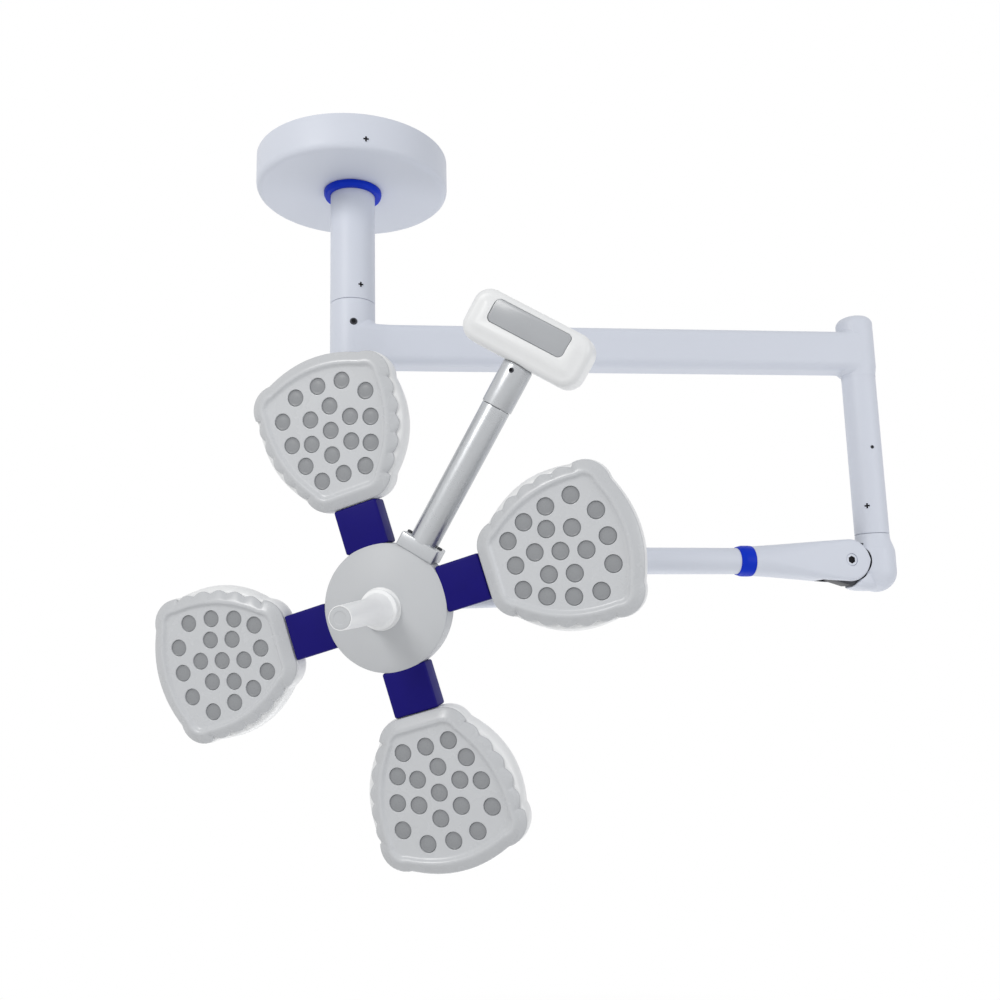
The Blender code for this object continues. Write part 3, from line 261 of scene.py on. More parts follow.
def combined(base, tool, operation="DIFFERENCE", shadeInlay=0):
    # faces that the tool leaves take the finish number given here; a 1 paints them dark as shade in
    # cut recesses, slots and sweeps
    items = []
    for face in tool.faces:
        face.material_index = shadeInlay
    for shape in (base, tool):
        mesh = toMesh(shape)
        mesh.materials.append(None)
        mesh.materials.append(None)
        items.append(bpy.data.objects.new("scratch", mesh))
        scene.collection.objects.link(items[-1])
    step = items[0].modifiers.new("step", "BOOLEAN")
    step.operation = operation
    step.solver = "EXACT"
    step.object = items[1]
    result = bmesh.new()
    result.from_object(items[0], bpy.context.evaluated_depsgraph_get())
    for item in items:
        mesh = item.data
        bpy.data.objects.remove(item)
        bpy.data.meshes.remove(mesh)
    return result


def softEdges(bm, offset, angle, segments):
    # breaks the sharp edges that a Boolean leaves
    bmesh.ops.remove_doubles(bm, verts=bm.verts[:], dist=sameSpot * 10)
    limit = math.radians(angle)
    sharp = [e for e in bm.edges if e.is_manifold and e.calc_face_angle() > limit]
    bmesh.ops.bevel(bm, geom=sharp, offset=offset, segments=segments, profile=0.5,
                    affect="EDGES", material=-1, clamp_overlap=True)
    return bm


# finishes

def mathsPair(operation):
    # an operator that adds a Math node, and its reflected form
    return (lambda self, other: self.maths(operation, self, other),
            lambda self, other: self.maths(operation, other, self))


class Wire:
    # one output of a node tree, so that shader maths reads as plain expressions

    def __init__(self, tree, socket=None):
        self.tree = tree
        self.socket = socket

    def node(self, kind, settings={}, inputs={}, output=0):
        made = self.tree.nodes.new("ShaderNode" + kind)
        for name, value in settings.items():
            setattr(made, name, value)
        for key, value in inputs.items():
            self.plug(value, made.inputs[key])
        return Wire(self.tree, made.outputs[output])

    def plug(self, value, socket):
        if isinstance(value, Wire):
            self.tree.links.new(value.socket, socket)
        else:
            socket.default_value = value

    def maths(self, operation, first, second):
        return self.node("Math", {"operation": operation}, {0: first, 1: second})

    def blend(self, first, second):
        # a colour between two others, with this wire as the share of the second
        sockets = {0: self, 6: (*first, 1), 7: (*second, 1)}
        return self.node("Mix", {"data_type": "RGBA"}, sockets, 2)

    __add__, __radd__ = mathsPair("ADD")
    __sub__, __rsub__ = mathsPair("SUBTRACT")
    __mul__, __rmul__ = mathsPair("MULTIPLY")
    __pow__, __rpow__ = mathsPair("POWER")


def newFinish(name, constants):
    material = bpy.data.materials.new(name)
    material.use_nodes = True
    shader = material.node_tree.nodes["Principled BSDF"]
    for socket, value in constants.items():
        shader.inputs[socket].default_value = value
    return material, shader, Wire(material.node_tree)


def noiseAt(wire, size, detail, stretch=(1, 1, 1)):
    # noise on Object coordinates, size in metres
    place = wire.node("TexCoord", output="Object")
    place = wire.node("Mapping", {}, {"Vector": place, "Scale": stretch})
    sockets = {"Vector": place, "Scale": 1 / size, "Detail": detail, "Roughness": 0.55}
    return wire.node("TexNoise", {}, sockets)


def drifting(share, look, amount):
    # the finish's colour, down to a darker one where the share is small
    dark = tuple(part * (1 - amount) for part in look["colour"])
    return share.blend(dark, look["colour"])


def addBump(wire, shader, height, strength, depth):
    sockets = {"Strength": strength, "Distance": depth, "Height": height}
    wire.plug(wire.node("Bump", {}, sockets), shader.inputs["Normal"])


def moulded(name, look):
    # paint or plastic: a fine skin, a slow drift of tone and a little uneven gloss
    constants = {"Specular IOR Level": look["specular"], **look.get("sockets", {})}
    material, shader, wire = newFinish(name, constants)
    amount, size = look["drift"]
    tone = drifting(noiseAt(wire, size, 2.0), look, amount)
    if "flange" in look:    # where the flange attribute is set, the tone is made darker
        flange = wire.node("Attribute", {"attribute_name": "flange"}, output="Fac")
        shade = 1 - flange * look["flange"]
        tone = wire.node("VectorMath", {"operation": "SCALE"}, {0: tone, "Scale": shade})
    wire.plug(tone, shader.inputs["Base Color"])
    roughness, uneven, size = look["gloss"]
    wire.plug(roughness + (noiseAt(wire, size, 4.0) - 0.5) * uneven, shader.inputs["Roughness"])
    size, strength, depth = look["skin"]
    addBump(wire, shader, noiseAt(wire, size, 2.0), strength, depth)
    return material


def machined(name, look):
    # metal with fine marks drawn along one direction and a slow change of polish
    material, shader, wire = newFinish(name, look["sockets"])
    size, stretch, markGloss = look["marks"]
    marks = noiseAt(wire, size, 4.0, stretch)
    wire.plug(drifting(marks, look, look["drift"]), shader.inputs["Base Color"])
    roughness, uneven, size = look["gloss"]
    polish = noiseAt(wire, size, 3.0)
    gloss = roughness + (polish - 0.5) * uneven + (marks - 0.5) * markGloss
    wire.plug(gloss, shader.inputs["Roughness"])
    addBump(wire, shader, marks, *look["skin"])
    return material


def ringed(name, look):
    # each lens carries its own radius as an attribute: moulded rings, darker towards the rim
    material, shader, wire = newFinish(name, look["sockets"])
    radius = wire.node("Attribute", {"attribute_name": "lensRadius"}, output="Fac")
    grain = noiseAt(wire, look["grainSize"], 2.0)
    share = radius ** 3 * (1 - look["grain"]) + grain * look["grain"]
    wire.plug(share.blend(look["middle"], look["rim"]), shader.inputs["Base Color"])
    roughness, uneven = look["gloss"]
    wire.plug(roughness + grain * uneven, shader.inputs["Roughness"])
    rings = wire.maths("SINE", radius * look["rings"] * math.tau, 0.0)
    addBump(wire, shader, rings, *look["skin"])
    return material


# drift is (amount, size), gloss (roughness, its change, size), marks (size, stretch, gloss)
# and skin (size, strength, depth), without a size on metal and lenses
plastics = {
    "powderCoat": {
        "slot": "white_paint", "colour": (0.64, 0.672, 0.752), "specular": 0.28,
        "drift": (0.04, 0.22), "gloss": (0.44, 0.16, 0.05), "skin": (0.0016, 0.2, 0.0004)},
    "whiteMoulding": {
        "slot": "white_plastic", "colour": (0.8, 0.81, 0.82), "specular": 0.4,
        "drift": (0.03, 0.16), "gloss": (0.34, 0.14, 0.04), "skin": (0.0009, 0.1, 0.0003)},
    # a lighter copy of the white moulding, painted light on the handle
    "handleLitMoulding": {
        "slot": "white_plastic", "colour": (0.9, 0.91, 0.92), "specular": 0.4,
        "drift": (0.02, 0.1), "gloss": (0.36, 0.12, 0.03), "skin": (0.0009, 0.1, 0.0003)},
    "paleMoulding": {
        "slot": "pale_plastic", "colour": (0.585, 0.6, 0.622), "specular": 0.48, "flange": 0.08,
        "drift": (0.05, 0.12), "gloss": (0.27, 0.12, 0.03), "skin": (0.0008, 0.12, 0.0003)},
    "hubMoulding": {
        "slot": "pale_plastic", "colour": (0.555, 0.57, 0.59), "specular": 0.25,
        "drift": (0.05, 0.1), "gloss": (0.46, 0.1, 0.03), "skin": (0.0008, 0.14, 0.0003)},
    "navyMoulding": {
        "slot": "navy_plastic", "colour": (0.0058, 0.0026, 0.16), "specular": 0.14,
        "drift": (0.18, 0.03), "gloss": (0.5, 0.16, 0.02), "skin": (0.0008, 0.2, 0.0003)},
    "blueMoulding": {
        "slot": "blue_plastic", "colour": (0.0015, 0.031, 0.56), "specular": 0.12,
        "drift": (0.15, 0.02), "gloss": (0.4, 0.14, 0.015), "skin": (0.0007, 0.12, 0.0003)},
    "windowPlastic": {
        "slot": "panel_plastic", "colour": (0.425, 0.44, 0.462), "specular": 0.35,
        "drift": (0.1, 0.05), "gloss": (0.26, 0.1, 0.02), "skin": (0.0006, 0.06, 0.0002),
        "sockets": {"Coat Weight": 0.15, "Coat Roughness": 0.15}},
    # near-black painted shade for the floors of screw recesses
    "recessShade": {
        "colour": (0.016, 0.016, 0.019), "specular": 0.12,
        "drift": (0.3, 0.004), "gloss": (0.75, 0.15, 0.004), "skin": (0.0006, 0.1, 0.0002)}}
metals = {
    "satinMetal": {
        "slot": "satin_metal", "colour": (0.52, 0.535, 0.555), "drift": 0.1,
        "gloss": (0.29, 0.1, 0.03), "marks": (0.0006, (0.06, 1, 0.06), 0.1),
        "skin": (0.08, 0.0002), "sockets": {"Metallic": 0.85}},
    "steel": {
        "slot": "steel", "colour": (0.58, 0.58, 0.59), "drift": 0.16,
        "gloss": (0.32, 0.12, 0.02), "marks": (0.0005, (1, 1, 0.1), 0.12),
        "skin": (0.12, 0.0002), "sockets": {"Metallic": 1.0}},
    # dark steel on screws and bolts; the same dark finish is painted shade on the elbow's tongue
    # and on the walls of cut sweeps and slots
    "darkSteelAndShade": {
        "slot": "dark_steel", "colour": (0.06, 0.063, 0.072), "drift": 0.3,
        "gloss": (0.46, 0.15, 0.006), "marks": (0.0006, (1, 1, 1), 0.1),
        "skin": (0.15, 0.0002), "sockets": {"Metallic": 0.6, "Specular IOR Level": 0.3}},
    "bronze": {
        "colour": (0.46, 0.3, 0.14), "drift": 0.18,
        "gloss": (0.38, 0.12, 0.02), "marks": (0.0006, (1, 1, 0.1), 0.1),
        "skin": (0.1, 0.0002), "sockets": {"Metallic": 1.0}}}
lenses = {
    "lensPlastic": {
        "slot": "lens_plastic", "middle": (0.295, 0.305, 0.32), "rim": (0.255, 0.264, 0.278),
        "grain": 0.25, "grainSize": 0.002, "gloss": (0.24, 0.08), "rings": 7,
        "skin": (0.1, 0.0002), "sockets": {"Specular IOR Level": 0.3}}}
finishes = {}
for makeFinish, looks in ((moulded, plastics), (machined, metals), (ringed, lenses)):
    for name, look in looks.items():
        finishes[name] = makeFinish(name, look)
print("finishes made:", len(finishes))


def addPiece(name, bm, body, finish, node=None, sharp=35, shadeInlay=None):
    mesh = toMesh(bm, name)
    mesh.shade_smooth()
    mesh.set_sharp_from_angle(angle=math.radians(sharp))
    mesh.materials.append(finishes[finish])
    # a second finish paints the cut faces dark, a painted shade in recesses, slots and sweeps
    if shadeInlay:
        mesh.materials.append(finishes[shadeInlay])
    piece = bpy.data.objects.new(name, mesh)
    scene.collection.objects.link(piece)
    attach(piece, body)
    if node:
        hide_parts(node)
    return piece


def addTurned(name, piece, place, body, finish, node=None):
    shape = turned(piece["profile"], piece.get("steps", 96), place)
    addPiece(name, shape, body, finish, node)


# screws and bolts

paint = "powderCoat"
screwKinds = {    # radius, top above the surface, recess floor, depth below the surface, drive
    "crossScrew": (0.0046, 0.0008, 0.0002, 0.003, "cross"),
    "brakeScrew": (0.0054, 0.001, 0.0002, 0.0034, "hex"),
    "grubScrew": (0.0027, 0.0008, 0.0002, 0.0018, "hex"),
    "pivotCap": (0.00945, 0, -0.002, 0.004, "hex"),
    "stalkBolt": (0.0034, 0.0022, 0.0006, 0.003, "hex"),
    "setScrew": (0.0034, 0.001, 0.0002, 0.0024, "hex")}
# shares of the radius, and of the recess's depth for its edge
screwShares = {"crown": 0.3, "hex": 0.62, "crossLength": 1.66, "crossWidth": 0.56, "edge": 0.1}


def addScrew(name, kind, place, body, finish, node=None):
    # head along Z with its top above z = 0 and a recess for the driver, painted near-black as shade
    radius, stand, floor, sink, drive = screwKinds[kind]
    deep = 2 * (stand - floor)
    crown = radius * screwShares["crown"]
    head = turned([(0, -sink), (radius, -sink), (radius, stand, crown), (0, stand)], 32)
    if drive == "hex":
        head = combined(head, hexBar(radius * screwShares["hex"], deep, stand), shadeInlay=1)
    else:
        size = (radius * screwShares["crossLength"], radius * screwShares["crossWidth"], deep)
        for turn in (0, 90):
            turnPlace = spinZ(turn) @ shift(0, 0, stand)
            tool = softBox(size, deep * screwShares["edge"], 1, turnPlace)
            head = combined(head, tool, shadeInlay=1)
    addPiece(name, finishShape(head, place), body, finish, node, shadeInlay="recessShade")


def onTube(place, radius, level, turn):
    # Z points out of a tube's side
    return place @ spinZ(turn) @ shift(radius, 0, level) @ toX


# ceiling mount; profiles are (radius, height, rounding), screws are (level, turn round the tube)

canopy = {"steps": 160, "radius": 0.142, "screw": (-0.0385, -81), "profile": (
    (0.034, -0.047, 0.0008), (0.044, -0.047, 0.02), (0.142, -0.0535, 0.01), (0.142, -0.001, 0.0009),
    (0.1395, -0.001, 0.0006), (0.1395, -0.051, 0.0075), (0.044, -0.0445, 0.02),
    (0.034, -0.0445, 0.0005))}
canopyRing = {"steps": 128, "profile": (
    (0.0333, -0.0473, 0.0005), (0.043, -0.0473, 0.0012), (0.043, -0.0528, 0.0012),
    (0.0412, -0.0568, 0.0014), (0.0333, -0.0568, 0.0008))}
dropTube = {"steps": 128, "radius": 0.033, "screw": (-0.206, -68), "profile": (
    (0.029, -0.0063), (0.033, -0.0063, 0.0008), (0.033, -0.2265, 0.0012), (0.029, -0.2265))}


def buildMount():
    body = "ceiling_mount"
    addTurned("canopyCover", canopy, mountPlace, body, paint, "canopy_cover")
    addTurned("canopyRing", canopyRing, mountPlace, body, "blueMoulding", "canopy_ring")
    addTurned("dropTube", dropTube, mountPlace, body, paint, "drop_tube")
    place = onTube(mountPlace, canopy["radius"], *canopy["screw"])
    addScrew("canopyScrew", "crossScrew", place, body, paint, "canopy_screw")
    place = onTube(mountPlace, dropTube["radius"], *dropTube["screw"])
    addScrew("dropTubeScrew", "crossScrew", place, body, paint, "drop_tube_screw")


# extension arm, heights from the beam's middle

sleeve = {"steps": 128, "radius": 0.033, "screw": (0.029, -86), "profile": (
    (0.0261, 0.065, 0.0006), (0.033, 0.065, 0.0012), (0.033, -0.046, 0.0035),
    (0.0261, -0.046, 0.0006))}
beam = {
    "height": 0.062, "width": 0.05, "corner": 0.013, "rootHalf": 0.0328, "rootReach": 0.062,
    "rootFillet": 0.007, "tipHalf": 0.027, "tipReach": 0.045, "tipFillet": 0.005,
    "stations": (
        0, 0.004, 0.01, 0.016, 0.022, 0.026, 0.029, 0.032, 0.034, 0.036, 0.038, 0.04, 0.043,
        0.047, 0.052, 0.062, 0.25, 0.5, 0.733, 0.738, 0.742, 0.745, 0.748, 0.751, 0.754, 0.758,
        0.763, 0.769, 0.776)}
endBoss = {"steps": 128, "reach": 0.778, "radius": 0.0272, "profile": (
    (0, 0.0595), (0.01224, 0.05854, 0.02), (0.022304, 0.0555, 0.02), (0.0272, 0.0485, 0.009),
    (0.0272, -0.024, 0.04), (0.0253, -0.036, 0.03), (0.0253, -0.04), (0.0252, -0.04),
    (0.0252, -0.02), (0, -0.02))}
endPost = {
    "profile": ((0.0215, -0.02), (0.025, -0.02), (0.025, -0.2845, 0.0012), (0.0215, -0.2845)),
    "steps": 128, "radius": 0.025, "screw": (-0.2435, -124), "grubScrew": (-0.154, -90)}
spindleNut = {
    "profile": (
        (0.0185, -0.039), (0.0255, -0.039), (0.0255, -0.046, 0.001), (0.0185, -0.046, 0.001)),
    "steps": 64, "slot": (0.06, 0.004, 0.004), "slotLevel": -0.046, "slotEdge": 0.0004}


def beamLoop(x):
    # one section of the beam, widened into the sleeve and the boss and filleted up against them
    half = beam["width"] / 2
    root = 1 - smoothStep(x / beam["rootReach"])
    tip = 1 - smoothStep((endBoss["reach"] - x) / beam["tipReach"])
    wide = half + (beam["rootHalf"] - half) * root + (beam["tipHalf"] - half) * tip
    flat = beam["height"] / 2 - beam["corner"]
    points = []
    for y, z in ovalBox(2 * wide, beam["height"], beam["corner"], between=5):
        rootGap = (math.hypot(x, y) - sleeve["radius"]) / beam["rootFillet"]
        tipGap = (math.hypot(x - endBoss["reach"], y) - endBoss["radius"]) / beam["tipFillet"]
        lift = beam["rootFillet"] * max(0, min(1, 1 - rootGap)) ** 2
        lift += beam["tipFillet"] * max(0, min(1, 1 - tipGap)) ** 2
        lift *= smoothStep((abs(z) - flat) / beam["corner"])
        points.append((x, y, z + math.copysign(lift, z)))
    return points


def buildExtension():
    body = "extension_arm"
    addTurned("armHubSleeve", sleeve, extensionPlace, body, paint, "arm_hub_sleeve")
    place = onTube(extensionPlace, sleeve["radius"], *sleeve["screw"])
    addScrew("armBrakeScrew", "brakeScrew", place, body, "darkSteelAndShade", "arm_brake_screw")
    loops = [beamLoop(x) for x in beam["stations"]]
    addPiece("armBeam", lofted(loops, extensionPlace), body, paint, "arm_beam")

    place = extensionPlace @ shift(endBoss["reach"], 0, 0)
    addTurned("armEndBoss", endBoss, place, body, paint, "arm_end_boss")
    addTurned("endPost", endPost, place, body, paint, "end_post")
    screwPlace = onTube(place, endPost["radius"], *endPost["screw"])
    addScrew("postScrew", "crossScrew", screwPlace, body, paint, "post_screw")
    screwPlace = onTube(place, endPost["radius"], *endPost["grubScrew"])
    addScrew("postGrubScrew", "grubScrew", screwPlace, body, "darkSteelAndShade")

    n = spindleNut
    nut = turned(n["profile"], n["steps"])
    for turn in range(0, 180, 45):
        place = spinZ(turn) @ shift(0, 0, n["slotLevel"])
        nut = combined(nut, softBox(n["slot"], n["slotEdge"], 1, place))
    addPiece("spindleNut", finishShape(nut, extensionPlace), "ceiling_mount", "steel",
             "spindle_nut")


# elbow, heights from the level of the spring arm

elbow = {
    "top": 0.04, "rim": 0.0009, "neck": 0.036, "neckRadius": 0.025, "flare": 0.012,
    "radius": 0.0307, "bottom": -0.046, "offset": 0.052, "edge": 0.0006, "sweep": 0.0326,
    "sweepDepth": 0.05, "tongueRadius": 0.0262, "tongueHalf": 0.013, "tongueGap": 0.0002,
    "tongueReach": -0.03, "tongueEdge": 0.001, "flareSteps": 10, "ballSteps": 12,
    "lip": (    # along, bottom, half width and end slant of the lip below the arm's cheeks
        (0.047, -0.0395, 0.018, 1), (0.044, -0.0408, 0.0198, 0.7),
        (0.038, -0.0422, 0.021, 0.4), (0.03, -0.0434, 0.0212, 0.2),
        (0.018, -0.044, 0.02, 0), (0.002, -0.044, 0.017, 0)),
    "lipTop": -0.014, "lipCorner": 0.0125, "shadeKeelGap": 0.0006,
    # the keel is a dark plate below the tongue, painted shade in the slot
    "shadeKeel": ((0.03, -0.0275), (0, -0.0365), (-0.03, -0.0365), (-0.03, 0), (0.02, 0))}


def buildElbow():
    e = elbow
    r, low, half = e["radius"], e["bottom"], e["tongueHalf"]
    corners = [(0, e["top"]), (e["neckRadius"], e["top"], e["rim"])]
    for step in range(e["flareSteps"] + 1):
        t = step / e["flareSteps"]
        corners.append((e["neckRadius"] + (r - e["neckRadius"]) * smoothStep(t),
                        e["neck"] + (e["flare"] - e["neck"]) * t))
    for step in range(e["ballSteps"] + 1):
        angle = math.pi / 2 * step / e["ballSteps"]
        corners.append((r * math.cos(angle), low + r - r * math.sin(angle)))
    corners[-1] = (0, low)
    body = turned(corners, 128)
    loops = []
    for along, bottom, wide, slant in e["lip"]:
        height = e["lipTop"] - bottom
        middle = height / 2
        outline = ovalBox(2 * wide, height, e["lipCorner"])
        loops.append([(along - slant * (z + middle), y, z + bottom + middle) for y, z in outline])
    body = combined(body, lofted(loops), "UNION")
    pivotPlace = shift(e["offset"], 0, 0)
    sweep = ((0, 0), (e["sweep"], 0), (e["sweep"], e["sweepDepth"]), (0, e["sweepDepth"]))
    for side in (-1, 1):    # room for the arm's cheeks to swing
        mirrored = Matrix.Scale(side, 4, (0, 1, 0))
        tool = turned(sweep, 96, pivotPlace @ mirrored @ shift(0, half, 0) @ toY)
        bmesh.ops.recalc_face_normals(tool, faces=tool.faces[:])
        # the cut walls take the dark second finish, a painted shade in the gap round the arm's
        # cheeks
        body = combined(body, tool, shadeInlay=1)
    softEdges(body, e["edge"], 45, 2)
    addPiece("elbowHousing", finishShape(body, elbowPlace), "elbow", paint, "elbow_housing",
             shadeInlay="darkSteelAndShade")
    # the tongue and the keel below it are painted dark as shade, standing for the shaded inside of
    # the slot between the cheeks
    place = elbowPlace @ pivotPlace @ upright
    plates = []
    tongue = roundEnd(e["tongueRadius"], e["tongueReach"])
    for outline, gap in ((tongue, e["tongueGap"]), (e["shadeKeel"], e["shadeKeelGap"])):
        plates.append(slab(outline, gap - half, half - gap, e["tongueEdge"], 2, place))
    addPiece("elbowTongue", joined(*plates), "elbow", "darkSteelAndShade")


# spring arm, X runs from the lift pivot to the knuckle

shroud = {
    "endRadius": 0.031, "length": 0.1523, "tipRadius": 0.0216, "halfWidth": 0.0228,
    "cheekEdge": 0.0052, "leastHeight": 0.003, "narrowFrom": 0.25, "roundBy": 0.92,
    "mostEdge": 0.98, "endSteps": 12, "taperSteps": 24, "slot": (0.088, 0.0272, 0.1),
    "slotEdge": 0.001,
    "seat": ((0, 0), (0.0095, 0), (0.0095, 0.02), (0, 0.02)), "seatDepth": 0.003,
    "capDepth": 0.0006}
armRing = {"profile": (
    (0.0192, 0.1526), (0.0222, 0.1526, 0.0009), (0.0226, 0.1586, 0.03), (0.0224, 0.1682, 0.012),
    (0.0203, 0.1752, 0.0016), (0.0192, 0.1752))}
armTube = {"profile": (
    (0.017, 0.1086), (0.019, 0.1086), (0.019, 0.4207, 0.001), (0.017, 0.4207))}
fork = {
    "profile": (
        (0, 0.401), (0.0165, 0.401), (0.0165, 0.421), (0.019, 0.421, 0.0006),
        (0.019, 0.431, 0.003), (0, 0.431)),
    "steps": 64, "tongueRadius": 0.0102, "tongueHalf": 0.008, "tongueReach": -0.034,
    "tongueEdge": 0.0008, "pin": 0.461}


def shroudSections():
    s = shroud
    for step in range(1, s["endSteps"] + 1):    # the round end
        x = -s["endRadius"] * math.cos(math.pi / 2 * step / s["endSteps"])
        height = max(s["leastHeight"], math.sqrt(s["endRadius"] ** 2 - x * x))
        yield x, height, s["halfWidth"], s["cheekEdge"]
    for step in range(1, s["taperSteps"] + 1):    # the taper, from flat cheeks to a round nose
        t = step / s["taperSteps"]
        height = s["endRadius"] + (s["tipRadius"] - s["endRadius"]) * t
        narrow = smoothStep((t - s["narrowFrom"]) / (1 - s["narrowFrom"]))
        width = s["halfWidth"] + (s["tipRadius"] - s["halfWidth"]) * narrow
        edge = s["cheekEdge"] + (s["tipRadius"] - s["cheekEdge"]) * smoothStep(t / s["roundBy"])
        yield s["length"] * t, height, width, edge


def buildSpringArm():
    s, body = shroud, "spring_arm"
    loops = []
    for x, height, width, edge in shroudSections():
        outline = ovalBox(2 * width, 2 * height, min(edge, height * s["mostEdge"]))
        loops.append([(x, y, z) for y, z in outline])
    # the slot's cut walls take the dark second finish, a painted shade inside the slot
    shape = combined(lofted(loops), softBox(s["slot"], s["slotEdge"], 2), shadeInlay=1)
    seat = turned(s["seat"], 48, shift(0, s["halfWidth"] - s["seatDepth"], 0) @ toY)
    shape = finishShape(combined(shape, seat), springPlace)
    addPiece("armShroud", shape, body, paint, "arm_shroud", 30, "darkSteelAndShade")
    place = springPlace @ shift(0, s["halfWidth"] - s["capDepth"], 0) @ toY
    addScrew("pivotCap", "pivotCap", place, body, paint, "pivot_cap")

    along = springPlace @ toX
    addTurned("springArmRing", armRing, along, body, "blueMoulding", "spring_arm_ring")
    addTurned("springArmTube", armTube, along, body, paint, "spring_arm_tube")
    f = fork
    shoulder = turned(f["profile"], f["steps"], toX)
    tongue = slab(roundEnd(f["tongueRadius"], f["tongueReach"]), -f["tongueHalf"],
                  f["tongueHalf"], f["tongueEdge"], 2, shift(f["pin"], 0, 0) @ upright)
    shape = finishShape(joined(shoulder, tongue), springPlace)
    addPiece("armEndFork", shape, body, paint, "arm_end_fork")


# knuckle, yoke and tilt block

knuckle = {
    "profile": (
        (0, -0.024), (0.017, -0.024, 0.001), (0.017, -0.028, 0.0006), (0.009, -0.028),
        (0.009, -0.074, 0.0008), (0, -0.074)),
    "steps": 64, "earRadius": 0.0135, "earInner": 0.0083, "earOuter": 0.0155, "earReach": -0.026,
    "earEdge": 0.001}
swivelNut = {
    "radius": 0.014, "height": 0.006, "middle": -0.0741,
    "crown": (
        (0, -0.0711), (0.0126, -0.0711), (0.01428, -0.0723), (0.01428, -0.0759),
        (0.0126, -0.0771), (0, -0.0771))}
yoke = {
    "boss": (
        (0.0093, 0.021, 0.0005), (0.017, 0.021, 0.0014), (0.017, -0.021, 0.0014),
        (0.0093, -0.021, 0.0005)),
    "limb": (
        (0, 0.0125), (0.016, 0.0125), (0.0154, 0.0165, 0.004), (0.013, 0.024, 0.008),
        (0.013, 0.1375, 0.0012), (0.008, 0.1375), (0.008, 0.1725, 0.0008), (0, 0.1725))}
tilt = {"profile": (
    (0.0083, -0.045, 0.0005), (0.019, -0.045, 0.0025), (0.019, 0.016, 0.006), (0, 0.016), (0, 0),
    (0.0083, 0))}


def buildLinks():
    base = turned(knuckle["profile"], knuckle["steps"])
    shape = joined(base, *earPair(knuckle, upright @ spinZ(-90)))
    addPiece("frontKnuckle", finishShape(shape, knucklePlace), "knuckle", paint, "front_knuckle")
    n = swivelNut
    nut = hexBar(n["radius"], n["height"], n["middle"])
    nut = combined(nut, turned(n["crown"], 64), "INTERSECT")
    addPiece("swivelNut", finishShape(nut, knucklePlace), "knuckle", "steel", "swivel_nut")
    shape = joined(turned(yoke["boss"], 96), turned(yoke["limb"], 64, toX))
    addPiece("yokeArm", finishShape(shape, yokePlace), "yoke", paint, "yoke_arm")
    addTurned("tiltBlock", tilt, tiltPlace @ toX, "tilt", paint, "tilt_block")


buildMount()
print("ceiling mount built")
buildExtension()
print("extension arm built")
buildElbow()
print("elbow built")
buildSpringArm()
print("spring arm built")
buildLinks()
print("knuckle, yoke and tilt block built")


# lamp head

bracket = {
    "profile": ((0, 0.0717), (0.036, 0.0717, 0.0012), (0.036, 0.0777, 0.0006), (0, 0.0777)),
    "rib": (0.03, 0.04, 0.007), "ribPlace": 0.0577, "ribEdge": 0.0012, "earRadius": 0.015,
    "earInner": 0.0195, "earOuter": 0.0275, "earReach": 0.0757, "earEdge": 0.0012}
tiltPin = {"steps": 48, "profile": (
    (0, -0.031), (0.0066, -0.031, 0.0012), (0.0066, -0.028, 0.0004), (0.005, -0.028),
    (0.005, 0.028), (0.0066, 0.028, 0.0004), (0.0066, 0.031, 0.0012), (0, 0.031))}
hubShell = {"steps": 160, "profile": (
    (0, -0.052), (0.054, -0.052, 0.006), (0.083, -0.0375, 0.012), (0.083, -0.0052, 0.0006),
    (0.0794, -0.0052), (0.0794, -0.0142), (0, -0.0142))}
hubCover = {
    "rim": (
        (0, -0.011), (0.079, -0.011), (0.079, -0.005), (0.0828, -0.005, 0.0004),
        (0.0828, -0.0034, 0.0012)),
    "steps": 160, "domeRadius": 0.081558, "domeLow": -0.0022, "domeTop": 0.013, "domeRings": 14}
handleStem = {"profile": (
    (0, 0.0092), (0.0275, 0.0092), (0.0275, 0.0126, 0.001), (0.024, 0.0138, 0.0008),
    (0.024, 0.0173, 0.001), (0.009, 0.0173), (0.009, 0.1003, 0.001), (0, 0.1003))}
handle = {"profile": (
    (0.0095, 0.0178), (0.0252, 0.0178, 0.0012), (0.0252, 0.0214, 0.0014), (0.021, 0.0236, 0.0022),
    (0.0195, 0.0299, 0.008), (0.0165, 0.0444, 0.02), (0.0155, 0.0938, 0.05),
    (0.0143, 0.1382, 0.0012), (0.013156, 0.1382, 0.0003), (0.013013, 0.1358), (0, 0.1358),
    (0, 0.1268), (0.0095, 0.1268))}
# a grey disc on the handle's flat end, a painted shade of the same white plastic
handleShadeCap = {"steps": 64, "profile": (
    (0, 0.1348), (0.0129415, 0.1348), (0.0129415, 0.1385, 0.0005), (0.00802373, 0.1388),
    (0.00750607, 0.1382, 0.001), (0, 0.1382))}
connector = {
    "start": 0.079, "end": 0.1382, "width": 0.06, "thick": 0.031, "front": -0.003,
    "edge": 0.003}


